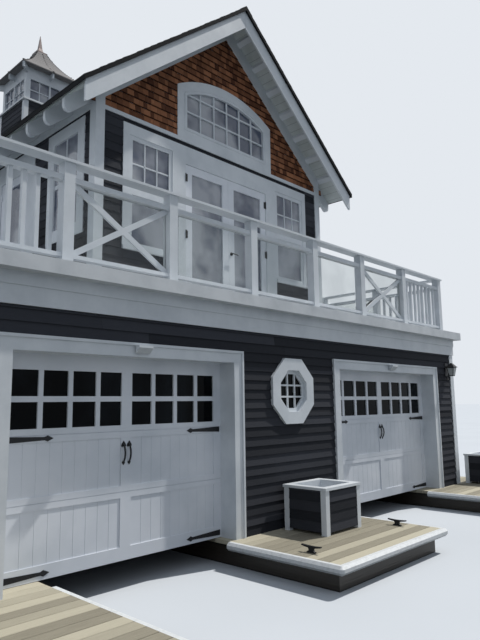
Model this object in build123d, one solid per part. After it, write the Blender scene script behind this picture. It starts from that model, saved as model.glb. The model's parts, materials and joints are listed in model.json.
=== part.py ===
from build123d import *
import math
import os

# A two-storey boathouse on timber cribs. The lower storey has two sectional boat doors over the
# water. The upper one is a gabled cabin behind a railed deck, with a cupola on its ridge.
# Millimetres. While building, X runs along the front wall from the building's middle, Y runs
# back from the face of the front wall and Z runs up from the water line.

# Cribs and docks
dock_top = 280.0
plank = 45.0
walkway = 1010.0
side_dock_reach = 2400.0
dock_inside_door = 433.0
finger_past_left_door = 90.0
finger_short_of_right_door = 135.0
finger_reach = 1520.0
back_dock_reach = 600.0
back_crib_width = 1500.0
crib_inset = 60.0
crib_joint = 10.0
bumper_width = 70.0
bumper_height = 90.0
bumper_corner = 42.0
bumper_round = 28.0
cleat_length = 250.0
cleat_height = 75.0
cleat_width = 28.0
cleat_foot = 110.0
cleat_neck = 60.0
cleat_horn = 24.0
cleat_inset = 190.0
cleat_from_front = 490.0

# Lower storey
building_width = 9780.0
building_depth = 14000.0
wall = 150.0
end_strip = 720.0
left_door_width = 2743.0
right_door_width = 3048.0
door_opening_height = 2050.0
siding_over_doors = 257.0
casing_width = 157.0
head_casing = 143.0
casing_proud = 30.0
back_band = 28.0
back_band_proud = 14.0
jamb_board = 30.0
door_setback = 221.0
door_thickness = 45.0
door_clearance = 4.0
corner_board_width = 112.0
board_proud = 26.0
board_joint = 3.0

# Boat door leaf
panes_per_group = 4
pane_height = 246.0
pane_bar = 50.0
pane_row_gap = 54.0
door_top_rail = 152.0
end_stile = 115.0
centre_stile = 130.0
seam_height = 678.0
seam_below_panes = 61.0
seam_width = 6.0
seam_depth = 8.0
panel_recess = 12.0
panel_rail = 60.0
door_bottom_rail = 135.0
lock_rail = 127.0
glass_thickness = 6.0
pane_recess = 20.0

# Strap hinges and handles of the boat doors
strap_length = 520.0
strap_from_edge = 23.0
strap_root = 62.0
strap_waist = 30.0
strap_point = 56.0
strap_point_length = 90.0
strap_thickness = 5.0
upper_strap_height = 1260.0
lower_strap_height = 60.0
handle_spread = 70.0
handle_length = 214.0
handle_bottom = 960.0
handle_bow = 42.0
handle_section = 14.0

# Eight-sided window
octagon_flats = 860.0
octagon_casing = 157.0
octagon_sash = 48.0
octagon_height = 1719.0
octagon_bar = 22.0
octagon_casing_proud = 50.0

# Frieze boards under the deck
upper_frieze = 123.0
lower_frieze = 175.0
upper_frieze_proud = 52.0
lower_frieze_proud = 40.0

# Deck and its railing
deck_thickness = 140.0
deck_overhang = 175.0
deck_side_overhang = 135.0
front_rail_inset = 80.0
side_rail_inset = 70.0
front_posts = (-3516.0, -2184.0, -806.0, 551.0, 1849.0, 3252.0)
side_rail_bays = 10
return_bays = 2
post = 120.0
rail_height = 1100.0
cap_width = 166.0
cap_thickness = 28.0
cap_gap = 138.0
sub_rail = 55.0
rail_board = 89.0
bottom_rail_lift = 105.0
bottom_rail = 38.0
baluster = 42.0
balusters_per_bay = 8
brace_width = 62.0
brace_thickness = 30.0
rail_glass = 10.0
glass_gap = 70.0

# Cabin
cabin_setback = 1310.0
cabin_width = 4824.0
cabin_plate = 2893.0
cabin_wall = 130.0
band_height = 55.0
band_drop = 320.0
strip_under_band = 64.0

# Surround, windows and glazed doors of the cabin front
surround_width = 4000.0
surround_proud = 20.0
surround_lap = 60.0
head_over_windows = 155.0
head_over_doors = 276.0
door_mullion = 250.0
entry_window_opening = 757.0
entry_sill_height = 712.0
entry_sill = 50.0
entry_sill_proud = 45.0
sash_rail = 60.0
meeting_rail = 110.0
sash_thickness = 40.0
sash_recess = 10.0
door_sill = 60.0
glazed_leaf = 889.0
leaf_gap = 3.0
leaf_stile = 125.0
leaf_bottom_rail = 240.0
leaf_thickness = 50.0
hinge_height = 110.0
hinge_reach = 34.0
hinge_thickness = 8.0
hinge_from_end = 150.0
hinges_per_leaf = 3

# Arched gable window
arch_half_width = 1050.0
arch_side = 820.0
arch_rise = 292.0
arch_casing = 150.0
arch_sash = 36.0
arch_columns = 6
arch_row = 275.0
arch_rows_with_bar = 2
window_bar = 24.0
casing_lap = 40.0

# Side windows and side door
side_window_width = 970.0
side_window_casing = 170.0
side_window_sill = 900.0
side_window_drop = 386.0
side_first = 1555.0
side_door_after = 400.0
side_door_casing = 170.0
side_door_jamb = 50.0
side_door_stile = 200.0
windows_after_door = 1100.0
side_window_pitch = 2400.0
later_windows = 3

# Roof
roof_slope = 10.0 / 12.0
eave_overhang = 435.0
roof_thickness = 30.0
gable_overhang = 413.0
roofing = 60.0
roofing_proud = 35.0
barge_depth = 290.0
barge_thickness = 32.0
barge_round = 15.0
rake_frieze_depth = 300.0
tail_thickness = 60.0
tail_depth = 280.0
tail_round = 70.0
tail_pitch = 490.0
first_tail = 76.0
lookout_width = 90.0
lookout_depth = 45.0
lookouts_per_slope = 7
lookout_pitch = 470.0
first_lookout = 300.0
ridge_cap_width = 260.0
ridge_cap_thickness = 18.0

# Cupola
cupola_from_front = 7860.0
cupola_width = 1200.0
cupola_base_width = 1260.0
cupola_base_rise = 764.0
cupola_post = 110.0
cupola_sill_width = 1360.0
cupola_sill = 45.0
cupola_wall_height = 805.0
cupola_window_bottom = 10.0
cupola_window_height = 518.0
cupola_wall = 60.0
cupola_mullion = 40.0
cupola_bar = 20.0
cupola_eave_width = 1540.0
cupola_eave = 25.0
cupola_roof_rise = 785.0
cupola_cap_width = 270.0
cupola_cap = 30.0
bell_bulge = 0.065
cupola_corner_board = 90.0
cupola_corner_proud = 15.0
bracket_reach = 145.0
corner_bracket_reach = 210.0
bracket_nose = 130.0
bracket_depth = 155.0
bracket_width = 45.0
bracket_root = 20.0
finial_height = 485.0
finial_base = 150.0
finial_waist = 88.0
finial_waist_height = 130.0
finial_tip = 10.0

# Lights and planters
lantern_width = 135.0
lantern_foot = 80.0
lantern_body = 165.0
lantern_hood = 85.0
lantern_hood_overhang = 20.0
lantern_knob = 30.0
lantern_from_wall = 60.0
lantern_drop = 15.0
lantern_inset = 270.0
lantern_plate = 110.0
lantern_arm = 24.0
door_light_width = 180.0
door_light_height = 85.0
door_light_depth = 80.0
door_light_lift = 30.0
door_light_plate = 15.0
planter_length = 745.0
planter_width = 635.0
planter_height = 550.0
planter_board = 28.0
planter_leg = 75.0
planter_rim = 90.0
planter_rim_thickness = 32.0
planter_rim_overhang = 12.0
planter_board_inset = 14.0
planter_lift = 35.0
planter_soil_floor = 150.0
planter_setback = 97.0
planter_on_finger = 890.0
planter_on_walkway = 110.0

# Worked-out levels and lines
half = building_width / 2
opening_top = dock_top + door_opening_height
frieze_bottom = opening_top + head_casing + siding_over_doors
deck_bottom = frieze_bottom + lower_frieze + upper_frieze
deck_top = deck_bottom + deck_thickness
crib_top = dock_top - plank
left_door_centre = -half + end_strip + casing_width + left_door_width / 2
right_door_centre = half - end_strip - casing_width - right_door_width / 2
left_door_edge = left_door_centre + left_door_width / 2
right_door_edge = right_door_centre - right_door_width / 2
middle_centre = (left_door_edge + right_door_edge) / 2
finger_left = left_door_edge - finger_past_left_door
finger_right = right_door_edge - finger_short_of_right_door
side_dock_inner = half - end_strip - casing_width - dock_inside_door
side_dock_outer = half + walkway
cabin_half = cabin_width / 2
cabin_back = building_depth
eave_half = cabin_half + eave_overhang
front_gable = cabin_setback - gable_overhang
back_gable = cabin_back + gable_overhang
plate_top = deck_top + cabin_plate
ridge_height = plate_top + roof_thickness + cabin_half * roof_slope
band_top = plate_top + roof_thickness - band_drop
band_bottom = band_top - band_height
surround_top = band_bottom - strip_under_band
window_head = surround_top - head_over_windows
door_head = surround_top - head_over_doors
door_half = glazed_leaf + 1.5 * leaf_gap
door_leg = door_half + door_mullion
window_centre = door_leg + entry_window_opening / 2
entry_sill_bottom = deck_top + entry_sill_height
entry_sill_top = entry_sill_bottom + entry_sill
side_window_top = plate_top - side_window_drop
cupola_sill_bottom = ridge_height + cupola_base_rise
cupola_sill_top = cupola_sill_bottom + cupola_sill
cupola_eave_bottom = cupola_sill_top + cupola_wall_height
cupola_roof_top = cupola_eave_bottom + cupola_eave + cupola_roof_rise
model_front = -side_dock_reach
model_back = building_depth + back_dock_reach
to_origin = Pos(0, -(model_front + model_back) / 2, 0)


def block(x0, x1, y0, y1, z0, z1):
    """A box between two corners."""
    centre = Pos((x0 + x1) / 2, (y0 + y1) / 2, (z0 + z1) / 2)
    return centre * Box(abs(x1 - x0), abs(y1 - y0), abs(z1 - z0))


def across(points, y0, y1):
    """An outline in X and Z, carried back from y0 to y1."""
    outline = Polyline(*[(x, y0, z) for x, z in points], close=True)
    return extrude(make_face(outline), amount=y1 - y0, dir=(0, 1, 0))


def along(points, x0, x1):
    """An outline in Y and Z, carried sideways from x0 to x1."""
    outline = Polyline(*[(x0, y, z) for y, z in points], close=True)
    return extrude(make_face(outline), amount=x1 - x0, dir=(1, 0, 0))


def frustum(width, top_width, height):
    """A square block that tapers evenly from its foot to its top."""
    lean = math.degrees(math.atan((width - top_width) / 2 / height))
    return extrude(Rectangle(width, width), amount=height, taper=lean)


def fuse(pieces):
    """One shape from a list of pieces."""
    whole = pieces[0]
    for piece in pieces[1:]:
        whole = whole + piece
    return whole


def group(pieces):
    """Separate solids kept apart in one node."""
    solids = []
    for piece in pieces:
        solids += list(piece.solids())
    return Compound(solids)


def mirrored(piece):
    """The same piece on the other side of the building's middle plane."""
    return mirror(piece, about=Plane.YZ)


def octagon(flats, x, z):
    """Corner points of an upright regular octagon with flat top and sides."""
    reach = flats / 2 / math.cos(math.pi / 8)
    turns = [math.pi / 8 + k * math.pi / 4 for k in range(8)]
    return [(x + reach * math.cos(t), z + reach * math.sin(t)) for t in turns]


def roof_level(x):
    """Height of the roof boards' top at a distance from the ridge."""
    return ridge_height - abs(x) * roof_slope


def rounded_plumb_end(x, depth, radius):
    """Points down the upright end of a sloping board, whose lower corner is rounded.

    The round touches the upright line at x and the board's lower edge, which lies depth below
    the roof boards' top, so its centre is one radius in from both.
    """
    slope = math.atan(roof_slope)
    low = roof_level(x) - depth
    centre_x = x - radius
    centre_z = low + radius * roof_slope + radius / math.cos(slope)
    turns = [-k * (math.pi / 2 + slope) / 4 for k in range(5)]
    return [(centre_x + radius * math.cos(t), centre_z + radius * math.sin(t)) for t in turns]


# Cribs and docks
def dock_plan(inset):
    """Corners of the side, finger and back stretches, drawn in by an inset."""
    back_line = building_depth + back_dock_reach - inset
    back_front = back_line - back_crib_width - 2 * (crib_inset - inset)
    side = (side_dock_inner + inset, side_dock_outer - inset, -side_dock_reach + inset, back_line)
    finger = (finger_left + inset, finger_right - inset, -finger_reach + inset, back_front - crib_joint)
    back = (crib_joint - side_dock_inner - inset, side_dock_inner + inset - crib_joint, back_front, back_line)
    return side, finger, back


def make_cribs():
    side, finger, back = [block(*plan, 0, crib_top) for plan in dock_plan(crib_inset)]
    return group([mirrored(side), side, finger, back])


def make_docks():
    side, finger, back = [block(*plan, crib_top, dock_top) for plan in dock_plan(0.0)]
    return group([mirrored(side), side, finger, back])


def make_bumpers():
    """Rounded rubbing strips along the dock edges where boats lie."""
    low = dock_top - bumper_height
    front = -finger_reach
    outline = block(finger_left - bumper_width, finger_right + bumper_width, front - bumper_width,
                    -casing_proud, low, dock_top)
    corners = outline.edges().filter_by(Axis.Z).group_by(Axis.Y)[0]
    outline = fillet(corners, bumper_corner)
    flats = outline.faces().filter_by(Axis.Z)
    rims = [edge for edge in flats.edges() if edge.center().Y < -casing_proud - 1]
    outline = chamfer(rims, bumper_round)
    finger = outline - block(finger_left, finger_right, front, 0, low, dock_top)
    inner = side_dock_inner
    outer = inner - bumper_width
    eased = outer + bumper_round
    section = [(inner, low), (inner, dock_top), (eased, dock_top), (outer, dock_top - bumper_round),
               (outer, low + bumper_round), (eased, low)]
    side = across(section, -side_dock_reach, -casing_proud)
    return group([finger, side, mirrored(side)])


def make_cleat(x, y):
    """A dock cleat: a spread foot, a narrow neck and two horns, from one curved outline."""
    foot = cleat_foot / 2
    neck = cleat_neck / 2
    tip = cleat_length / 2
    pad = cleat_horn / 2
    under = cleat_height - cleat_horn
    base = Polyline((0, -foot, pad), (0, -foot, 0), (0, foot, 0), (0, foot, pad))
    right_neck = ThreePointArc((0, foot, pad), (0, neck, under / 2), (0, foot, under))
    right_horn = Polyline((0, foot, under), (0, tip, cleat_height - pad), (0, tip, cleat_height))
    top = ThreePointArc((0, tip, cleat_height), (0, 0, cleat_height - pad / 2), (0, -tip, cleat_height))
    left_horn = Polyline((0, -tip, cleat_height), (0, -tip, cleat_height - pad), (0, -foot, under))
    left_neck = ThreePointArc((0, -foot, under), (0, -neck, under / 2), (0, -foot, pad))
    face = make_face([base, right_neck, right_horn, top, left_horn, left_neck])
    shape = extrude(face, amount=cleat_width, dir=(1, 0, 0))
    return Pos(x - cleat_width / 2, y, dock_top) * shape


def make_cleats():
    y = -finger_reach + cleat_from_front
    return group([make_cleat(finger_left + cleat_inset, y), make_cleat(finger_right - cleat_inset, y)])


# Lower storey walls
def make_lower_walls():
    top = deck_bottom
    left_end = block(-half, left_door_centre - left_door_width / 2 - jamb_board, 0, wall, dock_top, top)
    right_end = block(right_door_centre + right_door_width / 2 + jamb_board, half, 0, wall, dock_top, top)
    middle = block(left_door_edge + jamb_board, right_door_edge - jamb_board, 0, wall, dock_top, top)
    hole = octagon(octagon_flats - octagon_casing, middle_centre, dock_top + octagon_height)
    middle = middle - across(hole, 0, wall)
    heads = []
    for centre, width in ((left_door_centre, left_door_width), (right_door_centre, right_door_width)):
        reach = width / 2 + jamb_board
        heads.append(block(centre - reach, centre + reach, 0, wall, opening_top + jamb_board, top))
    side = block(half - wall, half, wall, building_depth - wall, dock_top, top)
    back = block(-half, half, building_depth - wall, building_depth, dock_top, top)
    return group([left_end, right_end]), middle, group(heads), group([mirrored(side), side]), back


def portal(centre, reach, width, y0, y1):
    """A frame round a doorway that stands on the dock: two legs and a head of one width."""
    outer = reach + width
    frame = block(centre - outer, centre + outer, y0, y1, dock_top, opening_top + width)
    return frame - block(centre - reach, centre + reach, y0, y1, dock_top, opening_top)


def make_door_casing(centre, width):
    """Face casing with its back band, and the deep jambs behind it."""
    reach = width / 2
    outer = reach + casing_width
    head_top = opening_top + head_casing
    front = -casing_proud
    casing = block(centre - outer, centre + outer, front, 0, dock_top, head_top)
    band_front = front - back_band_proud
    inner = outer - back_band
    casing = casing + block(centre - outer, centre + outer, band_front, front, dock_top, head_top)
    casing = casing - block(centre - inner, centre + inner, band_front, front, dock_top, head_top - back_band)
    casing = casing - block(centre - reach, centre + reach, front, 0, dock_top, opening_top)
    jambs = portal(centre, reach, jamb_board, 0, door_setback)
    return casing + jambs


def pane_edges(width):
    """Left edge of each pane in a row, from the leaf's middle, and the panes' width."""
    count = 2 * panes_per_group
    clear = width - 2 * end_stile - centre_stile
    pane = (clear - (count - 2) * pane_bar) / count
    edges = []
    for start in (-width / 2 + end_stile, centre_stile / 2):
        edges += [start + k * (pane + pane_bar) for k in range(panes_per_group)]
    return edges, pane


def make_boat_door(centre, width):
    """One sectional door: two rows of panes over recessed panels, with a groove at each joint."""
    face = door_setback
    back = face + door_thickness
    reach = width / 2 + jamb_board - door_clearance
    leaf = block(centre - reach, centre + reach, face, back, dock_top + door_clearance, opening_top)
    edges, pane = pane_edges(width)
    upper_row = opening_top - door_top_rail - pane_height
    lower_row = upper_row - pane_row_gap - pane_height
    glass_y = face + pane_recess
    sheets = []
    for z0 in (lower_row, upper_row):
        for x in edges:
            x0 = centre + x
            leaf = leaf - block(x0, x0 + pane, face, back, z0, z0 + pane_height)
            sheets.append(block(x0, x0 + pane, glass_y, glass_y + glass_thickness, z0, z0 + pane_height))
    seam = dock_top + seam_height
    panel_rows = ((dock_top + door_bottom_rail, seam - panel_rail),
                  (seam + panel_rail, lower_row - lock_rail))
    panel_columns = ((-width / 2 + end_stile, -centre_stile / 2), (centre_stile / 2, width / 2 - end_stile))
    for x0, x1 in panel_columns:
        for z0, z1 in panel_rows:
            leaf = leaf - block(centre + x0, centre + x1, face, face + panel_recess, z0, z1)
    for z in (seam, lower_row - seam_below_panes):
        leaf = leaf - block(centre - reach, centre + reach, face, face + seam_depth,
                            z - seam_width / 2, z + seam_width / 2)
    return leaf, sheets


def make_strap(x, z, side):
    """A strap hinge that narrows from its root and ends in a spear point."""
    shoulder = strap_length - strap_point_length
    bend = shoulder + strap_point_length / 3
    upper = [(0, strap_root / 2), (shoulder, strap_waist / 2), (bend, strap_point / 2)]
    outline = upper + [(strap_length, 0)] + [(a, -b) for a, b in reversed(upper)]
    face = door_setback - strap_thickness
    return across([(x + side * a, z + b) for a, b in outline], face, door_setback)


def make_handle(x):
    """A bowed pull: a thick arc that stands off the leaf between its two feet."""
    z0 = dock_top + handle_bottom
    z1 = z0 + handle_length
    middle = (z0 + z1) / 2
    face = door_setback
    x0 = x - handle_section / 2
    outer = ThreePointArc((x0, face, z0), (x0, face - handle_bow, middle), (x0, face, z1))
    inner = ThreePointArc((x0, face, z1 - handle_section), (x0, face - handle_bow + handle_section, middle),
                          (x0, face, z0 + handle_section))
    feet = [Line((x0, face, z1), (x0, face, z1 - handle_section)),
            Line((x0, face, z0 + handle_section), (x0, face, z0))]
    return extrude(make_face([outer, feet[0], inner, feet[1]]), amount=handle_section, dir=(1, 0, 0))


def make_door_ironwork():
    pieces = []
    for centre, width in ((left_door_centre, left_door_width), (right_door_centre, right_door_width)):
        for side in (-1, 1):
            root = centre + side * (width / 2 - strap_from_edge)
            for height in (lower_strap_height, upper_strap_height):
                pieces.append(make_strap(root, dock_top + height, -side))
            pieces.append(make_handle(centre + side * handle_spread / 2))
    return group(pieces)


def make_octagon_window():
    """A stepped casing outside, the frame through the wall and a grid of bars."""
    x = middle_centre
    z = dock_top + octagon_height
    sash_flats = octagon_flats - 2 * octagon_casing
    clear = sash_flats - 2 * octagon_sash
    front = -octagon_casing_proud
    shape = across(octagon(octagon_flats, x, z), front, 0)
    shape = shape + across(octagon(octagon_flats - octagon_casing, x, z), 0, wall)
    shape = shape - across(octagon(sash_flats, x, z), front, 0)
    shape = shape - across(octagon(clear, x, z), 0, wall)
    bar_y = octagon_bar
    for k in (-1, 1):
        middle = k * clear / 6
        shape = shape + block(x + middle - octagon_bar / 2, x + middle + octagon_bar / 2, 0, bar_y,
                              z - clear / 2, z + clear / 2)
        shape = shape + block(x - clear / 2, x + clear / 2, 0, bar_y,
                              z + middle - octagon_bar / 2, z + middle + octagon_bar / 2)
    pane = across(octagon(clear, x, z), bar_y, bar_y + glass_thickness)
    return shape, pane


# Corner boards
def corner_post(x, y, side_x, side_y, z0, outer_top, inner_top, cheek_top):
    """Two boards that wrap an outside wall corner, the face board cut to a slope."""
    outer_x = x + side_x * board_proud
    inner_x = x - side_x * corner_board_width
    outer_y = y + side_y * board_proud
    face = across([(outer_x, z0), (inner_x, z0), (inner_x, inner_top), (outer_x, outer_top)],
                  min(y, outer_y), max(y, outer_y))
    cheek = block(x, outer_x, y, y - side_y * corner_board_width, z0, cheek_top)
    return face + cheek


def make_corner_boards():
    boards = []
    frieze_outer = roof_level(cabin_half + board_proud) - rake_frieze_depth
    frieze_inner = roof_level(cabin_half - corner_board_width) - rake_frieze_depth
    cheek_top = plate_top - board_proud * roof_slope
    for side in (-1, 1):
        for side_y, y in ((-1, 0.0), (1, building_depth)):
            boards.append(corner_post(side * half, y, side, side_y, dock_top,
                                      frieze_bottom, frieze_bottom, frieze_bottom))
        for side_y, y in ((-1, cabin_setback), (1, cabin_back)):
            boards.append(corner_post(side * cabin_half, y, side, side_y, deck_top,
                                      frieze_outer, frieze_inner, cheek_top))
    return group(boards)


# Frieze boards and deck
def frieze_section(length, y, side_y):
    """Stepped frieze along X: a thick board over a thinner one, against a wall at y."""
    seam = frieze_bottom + lower_frieze
    upper = block(-length / 2, length / 2, y, y + side_y * upper_frieze_proud, seam, deck_bottom)
    return upper + block(-length / 2, length / 2, y, y + side_y * lower_frieze_proud, frieze_bottom, seam)


def make_friezes():
    """Boards right round under the deck, with a small joint at each corner."""
    front = frieze_section(building_width + 2 * upper_frieze_proud, 0.0, -1)
    back = frieze_section(building_width + 2 * upper_frieze_proud, building_depth, 1)
    right = Rot(0, 0, 90) * frieze_section(building_depth - 2 * board_joint, -half, -1)
    return front, back, Pos(0, building_depth / 2, 0) * right


def make_deck():
    reach = half + deck_side_overhang
    return block(-reach, reach, -deck_overhang, building_depth + deck_overhang, deck_bottom, deck_top)


# Railing
def rail_levels():
    """Heights that every bay shares: bottom rail, sub-rail and the underside of the cap."""
    under_cap = deck_top + rail_height - cap_thickness
    low = deck_top + bottom_rail_lift
    sub_top = under_cap - cap_gap
    return low, low + bottom_rail, sub_top - sub_rail, sub_top, under_cap


def rail_bay(kind, length):
    """Everything between two posts, from 0 along X, on the line Y = 0."""
    low, floor, ceiling, sub_top, under_cap = rail_levels()
    front = -rail_board / 2
    pieces = [block(0, length, front, -front, ceiling, sub_top), block(0, length, front, -front, low, floor)]
    if kind == "balusters":
        gap = (length - balusters_per_bay * baluster) / (balusters_per_bay + 1)
        for k in range(balusters_per_bay):
            x = gap + k * (gap + baluster)
            pieces.append(block(x, x + baluster, -baluster / 2, baluster / 2, floor, ceiling))
    if kind == "cross":
        rise = ceiling - floor
        turn = math.degrees(math.atan2(rise, length))
        span = math.hypot(rise, length) + brace_width
        opening = block(0, length, front, -front, floor, ceiling)
        for sign in (-1, 1):
            lean = Pos(length / 2, 0, (floor + ceiling) / 2) * Rot(0, sign * turn, 0)
            pieces.append((lean * Box(span, brace_thickness, brace_width)) & opening)
    return fuse(pieces)


def rail_glass_sheet(kind, length):
    """The clear sheet of a bay, which is narrower where it stands in two small posts."""
    low, floor, ceiling, sub_top, under_cap = rail_levels()
    start = brace_thickness / 2
    side = glass_gap if kind == "glass" else 0.0
    return block(side, length - side, start, start + rail_glass, floor, ceiling)


def even_lines(length, bays):
    """Where each post of an evenly divided run begins."""
    return [k * (length - post) / bays for k in range(bays + 1)]


def rail_run(lines, kinds, first_post, last_post):
    """A straight run along X, with a post that begins at each of the lines."""
    low, floor, ceiling, sub_top, under_cap = rail_levels()
    pieces = []
    sheets = []
    for k, line in enumerate(lines):
        if (k > 0 or first_post) and (k < len(kinds) or last_post):
            pieces.append(block(line, line + post, -post / 2, post / 2, deck_top, under_cap))
    for kind, line, following in zip(kinds, lines, lines[1:]):
        start = Pos(line + post, 0, 0)
        clear = following - line - post
        pieces.append(start * rail_bay(kind, clear))
        if kind != "balusters":
            sheets.append(start * rail_glass_sheet(kind, clear))
    lap = cap_width / 2
    first = lines[0] + post / 2
    last = lines[-1] + post / 2
    x0 = first - lap if first_post else first + lap
    x1 = last + lap if last_post else last - lap
    pieces.append(block(x0, x1, -lap, lap, under_cap, under_cap + cap_thickness))
    return fuse(pieces), sheets


def make_railings():
    outer = half - side_rail_inset
    line_x = outer - post / 2
    front_y = front_rail_inset + post / 2
    back_y = building_depth - front_rail_inset - post / 2
    lines = [-outer, *front_posts, outer - post]
    ends = ["balusters", "cross"]
    front, front_sheets = rail_run(lines, ends + ["glass"] * (len(lines) - 5) + ends[::-1], True, True)
    place = Pos(0, front_y, 0)
    sheets = [place * sheet for sheet in front_sheets]
    side_lines = even_lines(back_y - front_y + post, side_rail_bays)
    side_kinds = ends + ["glass"] * (side_rail_bays - 4) + ends[::-1]
    side, side_sheets = rail_run(side_lines, side_kinds, False, False)
    turn = Pos(line_x, front_y - post / 2, 0) * Rot(0, 0, 90)
    right = turn * side
    right_sheets = [turn * sheet for sheet in side_sheets]
    sheets += right_sheets + [mirrored(sheet) for sheet in right_sheets]
    cabin_side = cabin_half + board_proud
    return_lines = even_lines(outer - cabin_side, return_bays)
    back, back_sheets = rail_run(return_lines, ["balusters"] * return_bays, True, True)
    back = Pos(cabin_side, back_y, 0) * back
    past = back_y + cap_width
    back = back - block(0, cabin_side, back_y - cap_width, past, deck_top, deck_top + 2 * rail_height)
    return place * front, group([mirrored(right), right]), group([mirrored(back), back]), group(sheets)


# Cabin walls
def side_openings():
    """Front and back edge, and bottom, of each casing in a side wall, with the word for it."""
    spans = [("window", side_first, side_first + side_window_width)]
    door_start = side_first + side_window_width + side_door_after
    leaf_half = side_door_casing + side_door_jamb
    door_end = door_start + glazed_leaf + 2 * leaf_gap + 2 * leaf_half
    spans.append(("door", door_start, door_end))
    for k in range(later_windows):
        start = door_end + windows_after_door + k * side_window_pitch
        spans.append(("window", start, start + side_window_width))
    return spans


def arch_shape(half_width, y0, y1, grow):
    """The gable window's shape: upright sides and a segmental top, grown or shrunk all round."""
    spring = band_top + arch_side
    full = (arch_half_width ** 2 + arch_rise ** 2) / (2 * arch_rise)
    centre_z = spring + arch_rise - full
    radius = full + grow
    low = band_top - grow
    side_z = centre_z + math.sqrt(radius ** 2 - half_width ** 2)
    sides = Polyline((-half_width, y0, side_z), (-half_width, y0, low), (half_width, y0, low),
                     (half_width, y0, side_z))
    arc = ThreePointArc((half_width, y0, side_z), (0, y0, centre_z + radius), (-half_width, y0, side_z))
    return extrude(make_face([sides, arc]), amount=y1 - y0, dir=(0, 1, 0))


def make_cabin_walls():
    front = cabin_setback
    inner = front + cabin_wall
    reach = surround_width / 2 - surround_lap
    gable_base = surround_top - surround_lap
    eave = plate_top
    under = ridge_height - roof_thickness
    low = entry_sill_bottom
    corner = [(-cabin_half, deck_top), (-door_leg, deck_top), (-door_leg, low), (-reach, low),
              (-reach, gable_base), (-cabin_half, gable_base)]
    left = across(corner, front, inner)
    gable = across([(-cabin_half, gable_base), (cabin_half, gable_base), (cabin_half, eave), (0, under),
                    (-cabin_half, eave)], front, inner)
    shrink = arch_casing - casing_lap
    gable = gable - arch_shape(arch_half_width - shrink, front, inner, -shrink)
    back = across([(-cabin_half, deck_top), (cabin_half, deck_top), (cabin_half, eave), (0, under),
                   (-cabin_half, eave)], cabin_back - cabin_wall, cabin_back)
    side = block(cabin_half - cabin_wall, cabin_half, inner, cabin_back - cabin_wall, deck_top, eave)
    for kind, y0, y1 in side_openings():
        low = deck_top + side_window_sill + casing_lap if kind == "window" else deck_top
        top = side_window_top - casing_lap
        side = side - block(cabin_half - cabin_wall, cabin_half, y0 + casing_lap, y1 - casing_lap, low, top)
    return group([left, mirrored(left)]), gable, group([mirrored(side), side]), back


# Cabin windows and glazed doors
def make_arch_window():
    y = cabin_setback
    lining = arch_casing - casing_lap
    sash = arch_casing + arch_sash
    glass_half = arch_half_width - sash
    shape = arch_shape(arch_half_width, y - surround_proud, y, 0)
    shape = shape + arch_shape(arch_half_width - lining, y, y + cabin_wall, -lining)
    shape = shape - arch_shape(glass_half, y - surround_proud, y + cabin_wall, -sash)
    clip = arch_shape(glass_half, y, y + window_bar, -sash)
    low = band_top + sash
    top = low + 2 * arch_side
    bars = []
    for k in range(1, arch_columns):
        x = -glass_half + k * 2 * glass_half / arch_columns
        bars.append(block(x - window_bar / 2, x + window_bar / 2, y, y + window_bar, low, top))
    for k in range(arch_rows_with_bar):
        z = low + (k + 1) * arch_row
        bars.append(block(-glass_half, glass_half, y, y + window_bar, z - window_bar / 2, z + window_bar / 2))
    for bar in bars:
        shape = shape + (bar & clip)
    glass_y = y + window_bar
    return shape, arch_shape(glass_half, glass_y, glass_y + glass_thickness, -sash)


def make_leaf(width):
    """One glazed leaf from X = 0 on the plane Y = 0, with hinges that reach the frame, and its glass."""
    z0 = deck_top + door_sill + leaf_gap
    z1 = door_head - leaf_gap
    leaf = block(0, width, 0, leaf_thickness, z0, z1)
    low = z0 + leaf_bottom_rail
    high = z1 - leaf_stile
    leaf = leaf - block(leaf_stile, width - leaf_stile, 0, leaf_thickness, low, high)
    step = (z1 - z0 - 2 * hinge_from_end - hinge_height) / (hinges_per_leaf - 1)
    for k in range(hinges_per_leaf):
        z = z0 + hinge_from_end + k * step
        leaf = leaf + block(width - hinge_reach, width + leaf_gap, -hinge_thickness, 0, z, z + hinge_height)
    middle = leaf_thickness / 2
    sheet = block(leaf_stile, width - leaf_stile, middle, middle + glass_thickness, low, high)
    return leaf, sheet


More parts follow.
